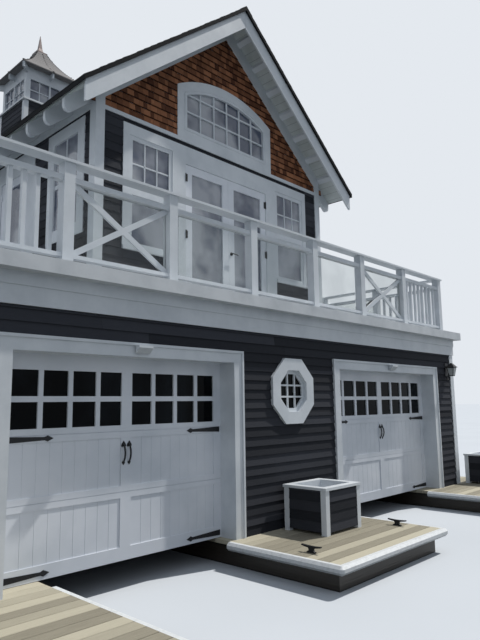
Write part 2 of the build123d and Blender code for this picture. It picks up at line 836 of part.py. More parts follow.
def make_entry():
    """The white surround with its two windows and the pair of glazed leaves."""
    y = cabin_setback
    reach = surround_width / 2
    front = y - surround_proud
    inner_reach = reach - surround_lap
    low = entry_sill_bottom
    outline = [(-reach, low), (-door_leg, low), (-door_leg, deck_top), (door_leg, deck_top), (door_leg, low),
               (reach, low), (reach, surround_top), (-reach, surround_top)]
    frame = across(outline, front, y)
    lining = [(-inner_reach, low), (-door_leg, low), (-door_leg, deck_top), (door_leg, deck_top),
              (door_leg, low), (inner_reach, low), (inner_reach, surround_top - surround_lap),
              (-inner_reach, surround_top - surround_lap)]
    frame = frame + across(lining, y, y + cabin_wall)
    frame = frame - block(-door_half, door_half, front, y + cabin_wall, deck_top + door_sill, door_head)
    leaf, sheet = make_leaf(glazed_leaf)
    place = Pos(leaf_gap / 2, y - sash_recess, 0)
    leaves = [place * leaf, mirrored(place * leaf)]
    sheets = [place * sheet, mirrored(place * sheet)]
    sill_y = y - entry_sill_proud
    for side in (-1, 1):
        centre = side * window_centre
        w0 = centre - entry_window_opening / 2
        w1 = centre + entry_window_opening / 2
        bottom = entry_sill_top
        frame = frame - block(w0, w1, front, y + cabin_wall, bottom, window_head)
        face = y - sash_recess
        back = face + sash_thickness
        sash = block(w0, w1, face, back, bottom, window_head)
        g0 = w0 + sash_rail
        g1 = w1 - sash_rail
        glass_low = bottom + sash_rail
        glass_high = window_head - sash_rail
        sash = sash - block(g0, g1, face, back, glass_low, glass_high)
        meet = (glass_low + glass_high) / 2
        sash = sash + block(w0, w1, face, back, meet - meeting_rail / 2, meet + meeting_rail / 2)
        frame = frame + sash
        frame = frame + block(side * door_leg, side * reach, sill_y, y, low, bottom)
        glass_y = y + sash_recess
        for z0, z1 in ((glass_low, meet - meeting_rail / 2), (meet + meeting_rail / 2, glass_high)):
            sheets.append(block(g0, g1, glass_y, glass_y + glass_thickness, z0, z1))
    return frame, group(leaves), sheets


def make_side_windows():
    frames = []
    leaves = []
    sheets = []
    x = cabin_half
    outer = x + surround_proud
    glass_x = x - sash_recess
    for kind, y0, y1 in side_openings():
        z0 = deck_top + side_window_sill if kind == "window" else deck_top
        z1 = side_window_top
        frame = block(x, outer, y0, y1, z0, z1)
        base = z0 + casing_lap if kind == "window" else z0
        frame = frame + block(x - cabin_wall, x, y0 + casing_lap, y1 - casing_lap, base, z1 - casing_lap)
        if kind == "window":
            edge = side_window_casing
            g0, g1, low, high = y0 + edge, y1 - edge, z0 + edge, z1 - edge
            frame = frame - block(x - cabin_wall, outer, g0, g1, low, high)
            bar = (g0 + g1 - window_bar) / 2
            frame = frame + block(glass_x, x, bar, bar + window_bar, low, high)
            meet = (low + high - sash_rail) / 2
            frame = frame + block(glass_x, x, g0, g1, meet, meet + sash_rail)
            sheet = block(glass_x - glass_thickness, glass_x, g0, g1, low, high)
        else:
            edge = side_door_casing + side_door_jamb
            low = deck_top + door_sill
            frame = frame - block(x - cabin_wall, outer, y0 + edge, y1 - edge, low, door_head)
            leaf, pane = make_leaf(glazed_leaf)
            turn = Pos(x + sash_recess, y0 + edge + leaf_gap, 0) * Rot(0, 0, 90)
            leaves.append(turn * leaf)
            sheet = turn * pane
        frames.append(frame)
        sheets.append(sheet)
    all_frames = frames + [mirrored(frame) for frame in frames]
    all_leaves = leaves + [mirrored(leaf) for leaf in leaves]
    return group(all_frames), group(all_leaves), sheets + [mirrored(sheet) for sheet in sheets]


# Friezes and bands of the cabin
def make_cabin_trim():
    """Belly bands across both gables and the boards under the eaves at the sides."""
    inner = cabin_half - corner_board_width
    boards = []
    for y0, y1 in ((cabin_setback - board_proud, cabin_setback), (cabin_back, cabin_back + board_proud)):
        boards.append(block(-inner, inner, y0, y1, band_bottom, band_top))
    side = block(cabin_half, cabin_half + board_proud, cabin_setback + corner_board_width,
                 cabin_back - corner_board_width, band_bottom, plate_top - board_proud * roof_slope)
    return group(boards + [mirrored(side), side])


def make_rake_friezes():
    """Sloping boards flat on the gable walls under the roof, meeting at a plumb joint."""
    outer = cabin_half + board_proud
    start = board_joint / 2
    outline = [(start, roof_level(start) - roof_thickness), (outer, roof_level(outer) - roof_thickness),
               (outer, roof_level(outer) - rake_frieze_depth), (start, roof_level(start) - rake_frieze_depth)]
    boards = []
    for y0, y1 in ((cabin_setback - board_proud, cabin_setback), (cabin_back, cabin_back + board_proud)):
        board = across(outline, y0, y1)
        boards += [board, mirrored(board)]
    return group(boards)


# Roof
def make_roof():
    y0 = front_gable - barge_thickness - roofing_proud
    y1 = back_gable + barge_thickness + roofing_proud
    slab = across([(0, ridge_height), (eave_half, roof_level(eave_half)),
                   (eave_half, roof_level(eave_half) - roof_thickness), (0, ridge_height - roof_thickness)],
                  front_gable, back_gable)
    edge = eave_half + roofing_proud
    cover = across([(0, ridge_height + roofing), (edge, roof_level(edge) + roofing),
                    (edge, roof_level(edge)), (0, ridge_height)], y0, y1)
    cap_half = ridge_cap_width / 2
    top = ridge_height + roofing
    low = top - cap_half * roof_slope
    cap = across([(-cap_half, low), (0, top), (cap_half, low), (cap_half, low + ridge_cap_thickness),
                  (0, top + ridge_cap_thickness), (-cap_half, low + ridge_cap_thickness)], y0, y1)
    return group([mirrored(slab), slab]), mirrored(cover), cover, cap


def make_barges():
    """Sloping boards on each gable end, with plumb rounded ends and a plumb joint at the peak."""
    start = board_joint / 2
    end = rounded_plumb_end(eave_half, barge_depth, barge_round)
    outline = [(start, roof_level(start)), (eave_half, roof_level(eave_half))] + end
    outline.append((start, roof_level(start) - barge_depth))
    boards = []
    for y0, y1 in ((front_gable - barge_thickness, front_gable), (back_gable, back_gable + barge_thickness)):
        board = across(outline, y0, y1)
        boards += [board, mirrored(board)]
    return group(boards)


def make_lookouts():
    """Short blocks under the gable overhangs, between the barge and the rake frieze."""
    blocks = []
    along_slope = math.cos(math.atan(roof_slope))
    for y0, y1 in ((front_gable, cabin_setback - board_proud), (cabin_back + board_proud, back_gable)):
        for k in range(lookouts_per_slope):
            x = (first_lookout + k * lookout_pitch) * along_slope
            end = x + lookout_width * along_slope
            top = roof_level(x) - roof_thickness
            end_top = roof_level(end) - roof_thickness
            outline = [(x, top), (end, end_top), (end, end_top - lookout_depth), (x, top - lookout_depth)]
            piece = across(outline, y0, y1)
            blocks += [piece, mirrored(piece)]
    return group(blocks)


def make_rafter_tails():
    """The rafters' ends under the eaves, cut plumb with a rounded lower corner."""
    start = cabin_half + board_proud
    outline = [(start, roof_level(start) - roof_thickness),
               (eave_half, roof_level(eave_half) - roof_thickness)]
    outline += rounded_plumb_end(eave_half, tail_depth, tail_round)
    outline.append((start, roof_level(start) - tail_depth))
    tails = []
    count = int((cabin_back - cabin_setback - 2 * first_tail) / tail_pitch) + 1
    for k in range(count):
        y = cabin_setback + first_tail + k * tail_pitch
        tail = across(outline, y - tail_thickness / 2, y + tail_thickness / 2)
        tails += [tail, mirrored(tail)]
    return group(tails)


# Cupola
def square_block(width, z0, z1):
    """A square block centred on the cupola."""
    return Pos(0, cupola_from_front, (z0 + z1) / 2) * Box(width, width, z1 - z0)


def make_cupola_base():
    """A box that sits over the ridge, up to the sill of the glazed storey."""
    roof_top = ridge_height + roofing
    reach = cupola_base_width / 2
    cap_half = ridge_cap_width / 2
    under_cap = roof_top - cap_half * roof_slope
    low = roof_top - reach * roof_slope
    outline = [(-reach, low), (-cap_half, under_cap), (-cap_half, under_cap + ridge_cap_thickness),
               (0, roof_top + ridge_cap_thickness), (cap_half, under_cap + ridge_cap_thickness),
               (cap_half, under_cap), (reach, low), (reach, cupola_sill_bottom), (-reach, cupola_sill_bottom)]
    return across(outline, cupola_from_front - reach, cupola_from_front + reach)


def make_base_corners():
    """White boards round the corners of the base, cut to the roof below them."""
    inner = cupola_base_width / 2
    outer = inner + cupola_corner_proud
    edge = inner - cupola_corner_board
    roof_top = ridge_height + roofing
    low = roof_top - outer * roof_slope
    front = block(-outer, -edge, -outer, -inner, low, cupola_sill_bottom)
    corner = front + block(-outer, -inner, -inner, -edge, low, cupola_sill_bottom)
    corners = fuse([Rot(0, 0, 90 * quarter) * corner for quarter in range(4)])
    roof = across([(-outer, low), (0, roof_top), (outer, low)], -outer, outer)
    return Pos(0, cupola_from_front, 0) * (corners - roof)


def make_bracket(wall_line, reach):
    """A bracket under the eave that stands out from a line in front of the cupola's middle."""
    low = cupola_eave_bottom
    root = wall_line + bracket_root
    nose = wall_line - reach
    outline = [(root, low), (nose, low), (nose, low - bracket_nose), (root, low - bracket_depth)]
    return along(outline, -bracket_width / 2, bracket_width / 2)


def make_cupola_body():
    """The glazed storey on its sill, with brackets at the corners and in the middle of each side."""
    body = square_block(cupola_width, cupola_sill_top, cupola_eave_bottom)
    body = body - square_block(cupola_width - 2 * cupola_wall, cupola_sill_top, cupola_eave_bottom)
    sheets = []
    z0 = cupola_sill_top + cupola_window_bottom
    z1 = z0 + cupola_window_height
    clear = cupola_width - 2 * cupola_post
    window = (clear - cupola_mullion) / 2
    face = -cupola_width / 2
    middle_bracket = make_bracket(face, bracket_reach)
    corner_bracket = Rot(0, 0, 45) * make_bracket(face * math.sqrt(2), corner_bracket_reach)
    for quarter in range(4):
        spin = Pos(0, cupola_from_front, 0) * Rot(0, 0, 90 * quarter)
        for x0 in (-clear / 2, cupola_mullion / 2):
            body = body - spin * block(x0, x0 + window, face, face + cupola_wall, z0, z1)
            bar_y = face + cupola_bar
            glass_y = bar_y + cupola_bar
            upright = x0 + (window - cupola_bar) / 2
            level = (z0 + z1 - cupola_bar) / 2
            body = body + spin * block(upright, upright + cupola_bar, bar_y, glass_y, z0, z1)
            body = body + spin * block(x0, x0 + window, bar_y, glass_y, level, level + cupola_bar)
            sheets.append(spin * block(x0, x0 + window, glass_y, glass_y + glass_thickness, z0, z1))
        body = body + spin * middle_bracket + spin * corner_bracket
    body = body + square_block(cupola_sill_width, cupola_sill_bottom, cupola_sill_top)
    return body + make_base_corners(), sheets


def bell_points():
    """Three points of the roof's swept line: the eave, the belly and the top."""
    outer = cupola_eave_width / 2
    inner = cupola_cap_width / 2
    low = cupola_eave_bottom + cupola_eave
    middle_x = (outer + inner) / 2 - bell_bulge * cupola_roof_rise
    middle_z = (low + cupola_roof_top) / 2 - bell_bulge * (outer - inner)
    return (outer, low), (middle_x, middle_z), (inner, cupola_roof_top)


def bell_view(y0, y1):
    """The roof's side view, from a flat eave edge up the swept lines, carried along Y."""
    points = bell_points()
    right = ThreePointArc(*[(x, y0, z) for x, z in points])
    left = ThreePointArc(*[(-x, y0, z) for x, z in reversed(points)])
    (outer, low), middle, (inner, top) = points
    level = Line((inner, y0, top), (-inner, y0, top))
    edge = Polyline((-outer, y0, low), (-outer, y0, cupola_eave_bottom), (outer, y0, cupola_eave_bottom),
                    (outer, y0, low))
    return extrude(make_face([right, level, left, edge]), amount=y1 - y0, dir=(0, 1, 0))


def make_cupola_roof():
    """A square bell-cast roof: the part that two crossing side views share."""
    reach = cupola_eave_width / 2
    view = bell_view(-reach, reach)
    return Pos(0, cupola_from_front, 0) * (view & (Rot(0, 0, 90) * view))


def make_cupola_metal():
    """The cap plate and the spire on it, a flared foot under a long point."""
    top = cupola_roof_top + cupola_cap
    shape = square_block(cupola_cap_width, cupola_roof_top, top)
    foot = Pos(0, cupola_from_front, top) * frustum(finial_base, finial_waist, finial_waist_height)
    spire_base = top + finial_waist_height
    spire = frustum(finial_waist, finial_tip, finial_height - finial_waist_height)
    return shape + foot + Pos(0, cupola_from_front, spire_base) * spire


# Lights and planters
def make_door_lights():
    """A small floodlight over each boat door: a slanted lamp head on a round back plate."""
    lights = []
    z0 = opening_top + door_light_lift
    z1 = z0 + door_light_height
    y1 = -casing_proud
    y0 = y1 - door_light_depth
    middle = (z0 + z1) / 2
    nose = door_light_height * 0.3
    side = [(y1 - door_light_plate, z1), (y0, z1), (y0, z1 - nose), (y1 - door_light_plate, z0)]
    for centre in (left_door_centre, right_door_centre):
        head = along(side, centre - door_light_width / 2, centre + door_light_width / 2)
        plate = Pos(centre, y1 - door_light_plate / 2, middle) * Rot(90, 0, 0)
        lights.append(head + plate * Cylinder(door_light_height / 2, door_light_plate))
    return group(lights)


def make_lantern():
    x = half - lantern_inset
    z = opening_top - lantern_drop
    y = -lantern_from_wall - lantern_width / 2
    body = Pos(x, y, z + lantern_body) * Rot(180, 0, 0) * frustum(lantern_width, lantern_foot, lantern_body)
    hood_width = lantern_width + 2 * lantern_hood_overhang
    hood = Pos(x, y, z + lantern_body) * frustum(hood_width, lantern_knob, lantern_hood)
    arm_z = z + lantern_body
    arm = block(x - lantern_arm / 2, x + lantern_arm / 2, y, 0, arm_z, arm_z + lantern_arm)
    back_top = arm_z + lantern_hood
    plate = block(x - lantern_plate / 2, x + lantern_plate / 2, -lantern_arm, 0, z, back_top)
    return body + hood + arm + plate


def make_planter(left, setback):
    """A square planter on four legs, open at the top inside a wide rim."""
    right = left + planter_length
    back = -setback
    front = back - planter_width
    top = dock_top + planter_height
    rim_low = top - planter_rim_thickness
    bottom = dock_top + planter_lift
    inset = planter_board_inset
    shape = block(left + inset, right - inset, front + inset, back - inset, bottom, rim_low)
    for x0 in (left, right - planter_leg):
        for y0 in (front, back - planter_leg):
            shape = shape + block(x0, x0 + planter_leg, y0, y0 + planter_leg, dock_top, rim_low)
    wide = planter_rim_overhang
    shape = shape + block(left - wide, right + wide, front - wide, back + wide, rim_low, top)
    hollow = planter_rim
    return shape - block(left + hollow, right - hollow, front + hollow, back - hollow,
                         dock_top + planter_soil_floor, top)


nodes = {}
nodes["cribs"] = make_cribs()
nodes["docks"] = make_docks()
nodes["dock_bumpers"] = make_bumpers()
nodes["dock_cleats"] = make_cleats()
walls = make_lower_walls()
nodes["front_wall_ends"] = walls[0]
nodes["front_wall_middle"] = walls[1]
nodes["front_wall_heads"] = walls[2]
nodes["lower_side_walls"] = walls[3]
nodes["lower_back_wall"] = walls[4]
nodes["left_door_casing"] = make_door_casing(left_door_centre, left_door_width)
nodes["right_door_casing"] = make_door_casing(right_door_centre, right_door_width)
nodes["left_boat_door"], left_panes = make_boat_door(left_door_centre, left_door_width)
nodes["right_boat_door"], right_panes = make_boat_door(right_door_centre, right_door_width)
nodes["door_ironwork"] = make_door_ironwork()
nodes["octagon_window"], octagon_pane = make_octagon_window()
nodes["lower_glass"] = group(left_panes + right_panes + [octagon_pane])
nodes["corner_boards"] = make_corner_boards()
front_frieze, back_frieze, side_frieze = make_friezes()
nodes["frieze_ends"] = group([front_frieze, back_frieze])
nodes["frieze_sides"] = group([side_frieze, mirrored(side_frieze)])
nodes["deck_floor"] = make_deck()
rails = make_railings()
nodes["front_railing"] = rails[0]
nodes["side_railings"] = rails[1]
nodes["back_railings"] = rails[2]
nodes["railing_glass"] = rails[3]
cabin = make_cabin_walls()
nodes["cabin_front_ends"] = cabin[0]
nodes["cabin_front_gable"] = cabin[1]
nodes["cabin_side_walls"] = cabin[2]
nodes["cabin_back_wall"] = cabin[3]
nodes["entry_frame"], nodes["front_leaves"], entry_sheets = make_entry()
nodes["arch_window"], arch_pane = make_arch_window()
nodes["side_windows"], nodes["side_leaves"], side_sheets = make_side_windows()
nodes["cabin_glass"] = group(entry_sheets + [arch_pane] + side_sheets)
nodes["cabin_bands"] = make_cabin_trim()
nodes["rake_friezes"] = make_rake_friezes()
nodes["roof_boards"], nodes["roof_left"], nodes["roof_right"], nodes["ridge_cap"] = make_roof()
nodes["barge_boards"] = make_barges()
nodes["lookouts"] = make_lookouts()
nodes["rafter_tails"] = make_rafter_tails()
nodes["cupola_base"] = make_cupola_base()
nodes["cupola_body"], cupola_sheets = make_cupola_body()
nodes["cupola_glass"] = group(cupola_sheets)
nodes["cupola_roof"] = make_cupola_roof()
nodes["cupola_finial"] = make_cupola_metal()
nodes["door_lights"] = make_door_lights()
nodes["wall_lantern"] = make_lantern()
nodes["planters"] = group([make_planter(finger_left + planter_on_finger, planter_setback),
                           make_planter(half + planter_on_walkway, planter_setback)])

os.makedirs("parts", exist_ok=True)
for name, shape in nodes.items():
    export_step(to_origin * shape, "parts/" + name + ".step")
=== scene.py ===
# %% [markdown]
# # A two-storey boathouse
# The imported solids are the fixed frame. This script gives every surface its finish and adds the
# parts that a carpenter nails on last: lapped siding, shingles, planks, window bars and ribs.

# %% The frame
import json
import math
import bpy
import numpy as np
from mathutils import Matrix, Vector


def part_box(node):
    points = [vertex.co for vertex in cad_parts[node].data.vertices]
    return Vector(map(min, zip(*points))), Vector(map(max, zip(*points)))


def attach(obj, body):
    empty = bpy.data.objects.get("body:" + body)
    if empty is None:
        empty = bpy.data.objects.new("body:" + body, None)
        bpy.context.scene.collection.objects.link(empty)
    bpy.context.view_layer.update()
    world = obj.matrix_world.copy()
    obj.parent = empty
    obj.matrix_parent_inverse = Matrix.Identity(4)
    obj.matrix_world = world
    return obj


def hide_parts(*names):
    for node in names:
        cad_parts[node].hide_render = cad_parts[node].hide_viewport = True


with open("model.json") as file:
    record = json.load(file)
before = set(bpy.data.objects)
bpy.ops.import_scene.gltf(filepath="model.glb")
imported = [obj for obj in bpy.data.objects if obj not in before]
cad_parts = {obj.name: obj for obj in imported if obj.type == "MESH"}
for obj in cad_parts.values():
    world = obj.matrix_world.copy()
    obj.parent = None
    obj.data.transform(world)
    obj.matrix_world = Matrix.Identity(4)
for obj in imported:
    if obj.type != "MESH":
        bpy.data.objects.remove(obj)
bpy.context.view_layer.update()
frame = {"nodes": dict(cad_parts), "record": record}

nodes = frame["nodes"]
slot_of = {part["node"]: part["material_slot"] for part in frame["record"]["subparts"]}
print("CAD nodes:", len(nodes))

# %% [markdown]
# ## Materials
# A material starts from what the real one is. Each ends in a Principled shader with its plain
# numbers on its own sockets, after a few texture nodes that vary its colour and its bump. The
# patterns read Object coordinates in metres, so their scale comes straight from real sizes. One
# function adds any node at all, so a material reads as a list of what goes into what.

# %% Colours and nodes
def linear(code):
    """An sRGB hex colour as linear red, green, blue and alpha."""
    part = np.array([int(code[k:k + 2], 16) for k in (1, 3, 5)]) / 255
    value = np.where(part <= 0.04045, part / 12.92, ((part + 0.055) / 1.055) ** 2.4)
    return (*value.tolist(), 1.0)


def add(tree, kind, inputs=None, stops=None, **settings):
    """One node: its settings, a ramp's stops, and its inputs.

    An input is a value, a hex colour, another node's output, or a node, which stands for its
    first output. A ramp has two stops, each a position and a hex colour.
    """
    node = tree.nodes.new(kind)
    for key, value in settings.items():
        setattr(node, key, value)
    for element, (position, code) in zip(node.color_ramp.elements if stops else (), stops or ()):
        element.position = position
        element.color = linear(code)
    for key, value in (inputs or {}).items():
        if isinstance(value, bpy.types.Node):
            value = value.outputs[0]
        if isinstance(value, bpy.types.NodeSocket):
            tree.links.new(value, node.inputs[key])
        else:
            node.inputs[key].default_value = linear(value) if isinstance(value, str) else value
    return node


def blank(name):
    """A material without nodes, its tree, and the Object coordinates that its patterns read."""
    material = bpy.data.materials.new(name)
    material.use_nodes = True
    tree = material.node_tree
    tree.nodes.clear()
    return material, tree, add(tree, "ShaderNodeTexCoord").outputs["Object"]


# %% [markdown]
# ### Painted softwood
# The trim is softwood boards under a satin exterior paint. It looks even and slightly cool, with
# faint brush marks and a little grime in soft patches. A noise gives each of them, one wide and
# one drawn out level, which costs far less than a painted image and has no seams.

# %% Painted softwood
def painted_wood(name, light, dark, roughness=0.42):
    """White exterior paint: soft patches about 0.5 m wide and brush marks about 4 mm wide."""
    material, tree, place = blank(name)
    patch = add(tree, "ShaderNodeTexNoise", {"Vector": place, "Scale": 2.2, "Detail": 5.0,
                                             "Roughness": 0.6})
    tone = add(tree, "ShaderNodeValToRGB", {"Fac": patch}, [(0.30, dark), (0.62, light)])
    along = add(tree, "ShaderNodeMapping", {"Vector": place, "Scale": (40, 40, 260)})
    brush = add(tree, "ShaderNodeTexNoise", {"Vector": along, "Scale": 1.0, "Detail": 3.0})
    relief = add(tree, "ShaderNodeBump", {"Height": brush, "Strength": 0.35, "Distance": 0.0004})
    shader = add(tree, "ShaderNodeBsdfPrincipled", {"Base Color": tone, "Roughness": roughness,
                                                    "Normal": relief})
    add(tree, "ShaderNodeOutputMaterial", {"Surface": shader})
    return material


trim_paint = painted_wood("painted_softwood", "#D3D8DD", "#C2C8CE")
deck_paint = painted_wood("painted_deck", "#CFD3D7", "#B9BEC3", 0.5)

# %% [markdown]
# ### Soffit boards
# Under the eaves the roof boards show, with a V joint between neighbours. They lie along the
# eave, so a joint comes wherever the distance from the ridge is a whole number of board widths.
# A repeating ramp on that distance draws them, and it follows both slopes at once. The paint is
# greyer and greener than the trim's: painted shade, for the underside of the eaves stays in shade.

# %% Soffit boards
soffit_board = 0.14
along_slope = 1.3017


def soffit_boards():
    """Paint greyer and greener than the trim's, as painted shade, with a dark joint at every
    board's edge down the slope.

    The way down the slope is |x| * along_slope, which is |x| / cos(slope).
    """
    material, tree, place = blank("soffit_boards_painted_shade")
    level = add(tree, "ShaderNodeSeparateXYZ", {"Vector": place})
    reach = add(tree, "ShaderNodeMath", {0: level.outputs["X"]}, operation="ABSOLUTE")
    count = add(tree, "ShaderNodeMath", {0: reach, 1: along_slope / soffit_board},
                operation="MULTIPLY")
    part = add(tree, "ShaderNodeMath", {0: count}, operation="FRACT")
    joint = add(tree, "ShaderNodeValToRGB", {"Fac": part}, [(0.02, "#A3A8AA"), (0.06, "#FFFFFF")])
    # Painted shade: the tone is darker and greener than the trim's paint.
    patch = add(tree, "ShaderNodeTexNoise", {"Vector": place, "Scale": 3.0, "Detail": 4.0})
    tone = add(tree, "ShaderNodeValToRGB", {"Fac": patch}, [(0.3, "#A9B0AE"), (0.65, "#C2C8C8")])
    both = add(tree, "ShaderNodeMix", {0: 1.0, 6: tone, 7: joint}, data_type="RGBA",
               blend_type="MULTIPLY")
    relief = add(tree, "ShaderNodeBump", {"Height": joint, "Strength": 0.6, "Distance": 0.004})
    shader = add(tree, "ShaderNodeBsdfPrincipled", {"Base Color": both.outputs[2],
                                                    "Roughness": 0.55, "Normal": relief})
    add(tree, "ShaderNodeOutputMaterial", {"Surface": shader})
    return material


soffit_paint_and_shade = soffit_boards()

# %% [markdown]
# ### Boat doors
# The doors are insulated steel leaves with a baked white finish, smoother and a little brighter
# than the brushed trim. Close up such a finish has an orange peel, which only breaks the gloss.

# %% Baked door finish
def baked_steel():
    """Even white with broad, very faint dirt and a fine orange peel of 2 mm."""
    material, tree, place = blank("baked_white_steel")
    dirt = add(tree, "ShaderNodeTexNoise", {"Vector": place, "Scale": 1.4, "Detail": 6.0})
    tone = add(tree, "ShaderNodeValToRGB", {"Fac": dirt}, [(0.32, "#C9CFD7"), (0.58, "#DBDFE6")])
    peel = add(tree, "ShaderNodeTexNoise", {"Vector": place, "Scale": 500.0, "Detail": 1.0})
    relief = add(tree, "ShaderNodeBump", {"Height": peel, "Strength": 0.3, "Distance": 0.00015})
    shader = add(tree, "ShaderNodeBsdfPrincipled", {"Base Color": tone, "Roughness": 0.33,
                                                    "Normal": relief})
    add(tree, "ShaderNodeOutputMaterial", {"Surface": shader})
    return material


door_enamel = baked_steel()

# %% [markdown]
# ### Stained and oiled wood
# The lapped boards are cedar under a very dark blue-black stain, bleached a little by the sun.
# The gables have red-brown oiled cedar shingles, and the docks bare softwood that has gone grey.
# All three differ from board to board, so the mesh carries each board's own tone as an
# attribute, and the colour is halfway between that tone and the grain.

# %% Woods with a tone for each board
def toned_wood(name, grain_scale, stops, raised, shade_row=None):
    """Rough wood with next to no gloss, whose grain is a noise scaled apart along its three axes.

    The colour is a ramp over half the board's tone plus half the grain. Where a course's height and
    base are given, each board's foot and the strip under the next are drawn dark: painted shade
    under the butts, with the dirt that gathers there.
    """
    material, tree, place = blank(name)
    apart = add(tree, "ShaderNodeMapping", {"Vector": place, "Scale": grain_scale})
    grain = add(tree, "ShaderNodeTexNoise", {"Vector": apart, "Scale": 1.0, "Detail": 6.0,
                                             "Roughness": 0.65})
    tone = add(tree, "ShaderNodeAttribute", attribute_name="tone").outputs["Fac"]
    both = add(tree, "ShaderNodeMath", {0: tone, 1: grain}, operation="ADD")
    half_way = add(tree, "ShaderNodeMath", {0: both, 1: 0.5}, operation="MULTIPLY")
    colour = add(tree, "ShaderNodeValToRGB", {"Fac": half_way}, stops).outputs[0]
    # Painted shade under the butts, with some dirt: dark at each board's foot and the strip below
    # it.
    if shade_row:
        height, base = shade_row
        level = add(tree, "ShaderNodeSeparateXYZ", {"Vector": place})
        above = add(tree, "ShaderNodeMath", {0: level.outputs["Z"], 1: height / 2 - base},
                    operation="ADD")
        count = add(tree, "ShaderNodeMath", {0: above, 1: 1.0 / height}, operation="MULTIPLY")
        part = add(tree, "ShaderNodeMath", {0: count}, operation="FRACT")
        off = add(tree, "ShaderNodeMath", {0: part, 1: 0.5}, operation="SUBTRACT")
        far = add(tree, "ShaderNodeMath", {0: off}, operation="ABSOLUTE")
        line = add(tree, "ShaderNodeValToRGB", {"Fac": far}, [(0.05, "#6E625C"), (0.13, "#FFFFFF")])
        colour = add(tree, "ShaderNodeMix", {0: 1.0, 6: colour, 7: line}, data_type="RGBA",
                     blend_type="MULTIPLY").outputs[2]
    relief = add(tree, "ShaderNodeBump", {"Height": grain, "Strength": 0.6, "Distance": raised})
    shader = add(tree, "ShaderNodeBsdfPrincipled", {"Base Color": colour, "Roughness": 0.8,
                                                    "Specular IOR Level": 0.12, "Normal": relief})
    add(tree, "ShaderNodeOutputMaterial", {"Surface": shader})
    return material


shingle_row = 0.100
band_height = 0.055
band_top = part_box("cabin_bands")[0].z + band_height
siding_stain = toned_wood("stained_lapped_cedar", (8, 8, 300),
                          [(0.05, "#0A0D12"), (1.0, "#494B52")], 0.001)
# The shingles take the painted shade under their butts, one row every 100 mm from the band.
cedar_oil = toned_wood("oiled_cedar_shingles", (240, 240, 14),
                       [(0.2, "#40241A"), (0.85, "#B57C5A")], 0.0015, (shingle_row, band_top))
dock_wood = toned_wood("weathered_softwood_planks", (5, 260, 260),
                       [(0.1, "#6F6A5E"), (0.85, "#BDB7A4")], 0.002)

# %% [markdown]
# ### Crib timber
# The cribs are timbers stacked flat, and they stay wet, so they are nearly black and a little
# shiny. A dark joint comes at every 200 mm of height.

# %% Crib timber
timber_height = 0.2


def wet_timber():
    """Stacked timbers: a dark line at each joint and long streaks of slime."""
    material, tree, place = blank("wet_crib_timber")
    apart = add(tree, "ShaderNodeMapping", {"Vector": place, "Scale": (3, 3, 60)})
    streaks = add(tree, "ShaderNodeTexNoise", {"Vector": apart, "Scale": 1.0, "Detail": 6.0})
    tone = add(tree, "ShaderNodeValToRGB", {"Fac": streaks}, [(0.0, "#15120F"), (1.0, "#3A342C")])
    level = add(tree, "ShaderNodeSeparateXYZ", {"Vector": place})
    count = add(tree, "ShaderNodeMath", {0: level.outputs["Z"], 1: 1.0 / timber_height},
                operation="MULTIPLY")
    part = add(tree, "ShaderNodeMath", {0: count}, operation="FRACT")
    joint = add(tree, "ShaderNodeValToRGB", {"Fac": part}, [(0.04, "#202020"), (0.09, "#FFFFFF")])
    both = add(tree, "ShaderNodeMix", {0: 1.0, 6: tone, 7: joint}, data_type="RGBA",
               blend_type="MULTIPLY")
    relief = add(tree, "ShaderNodeBump", {"Height": streaks, "Strength": 0.8, "Distance": 0.004})
    shader = add(tree, "ShaderNodeBsdfPrincipled", {"Base Color": both.outputs[2],
                                                    "Roughness": 0.45, "Normal": relief})
    add(tree, "ShaderNodeOutputMaterial", {"Surface": shader})
    return material


crib_wood = wet_timber()

# %% [markdown]
# ### Iron, copper and vinyl
# Hinges, cleats and the lantern are iron under black paint, lightly dented by the hammer. The
# spire is copper that has gone a dull brown. The dock edging is smooth white vinyl.

# %% Metal and vinyl
def painted_iron():
    """Black paint on hammered iron, dented about every 12 mm."""
    material, tree, place = blank("black_painted_iron")
    dents = add(tree, "ShaderNodeTexVoronoi", {"Vector": place, "Scale": 80.0}, feature="SMOOTH_F1")
    tone = add(tree, "ShaderNodeValToRGB", {"Fac": dents}, [(0.0, "#131417"), (1.0, "#24262A")])
    relief = add(tree, "ShaderNodeBump", {"Height": dents, "Strength": 0.5, "Distance": 0.0008})
    shader = add(tree, "ShaderNodeBsdfPrincipled", {"Base Color": tone, "Roughness": 0.5,
                                                    "Specular IOR Level": 0.25, "Normal": relief})
    add(tree, "ShaderNodeOutputMaterial", {"Surface": shader})
    return material


def aged_copper():
    """Brown oxide, mostly dull, with darker clouds about 60 mm wide."""
    material, tree, place = blank("aged_copper")
    clouds = add(tree, "ShaderNodeTexNoise", {"Vector": place, "Scale": 16.0, "Detail": 5.0})
    tone = add(tree, "ShaderNodeValToRGB", {"Fac": clouds}, [(0.3, "#4A3F3E"), (0.7, "#8A7876")])
    relief = add(tree, "ShaderNodeBump", {"Height": clouds, "Strength": 0.3, "Distance": 0.001})
    shader = add(tree, "ShaderNodeBsdfPrincipled", {"Base Color": tone, "Roughness": 0.5,
                                                    "Metallic": 0.15, "Normal": relief})
    add(tree, "ShaderNodeOutputMaterial", {"Surface": shader})
    return material


def vinyl_edging():
    """White vinyl with faint scuffs about 30 mm long where boats have rubbed it."""
    material, tree, place = blank("white_vinyl_edging")
    scuffs = add(tree, "ShaderNodeTexNoise", {"Vector": place, "Scale": 30.0, "Detail": 4.0})
    tone = add(tree, "ShaderNodeValToRGB", {"Fac": scuffs}, [(0.25, "#C6C9CA"), (0.55, "#D6D9DB")])
    shader = add(tree, "ShaderNodeBsdfPrincipled", {"Base Color": tone, "Roughness": 0.38})
    add(tree, "ShaderNodeOutputMaterial", {"Surface": shader})
    return material


iron_paint = painted_iron()
copper = aged_copper()
vinyl = vinyl_edging()
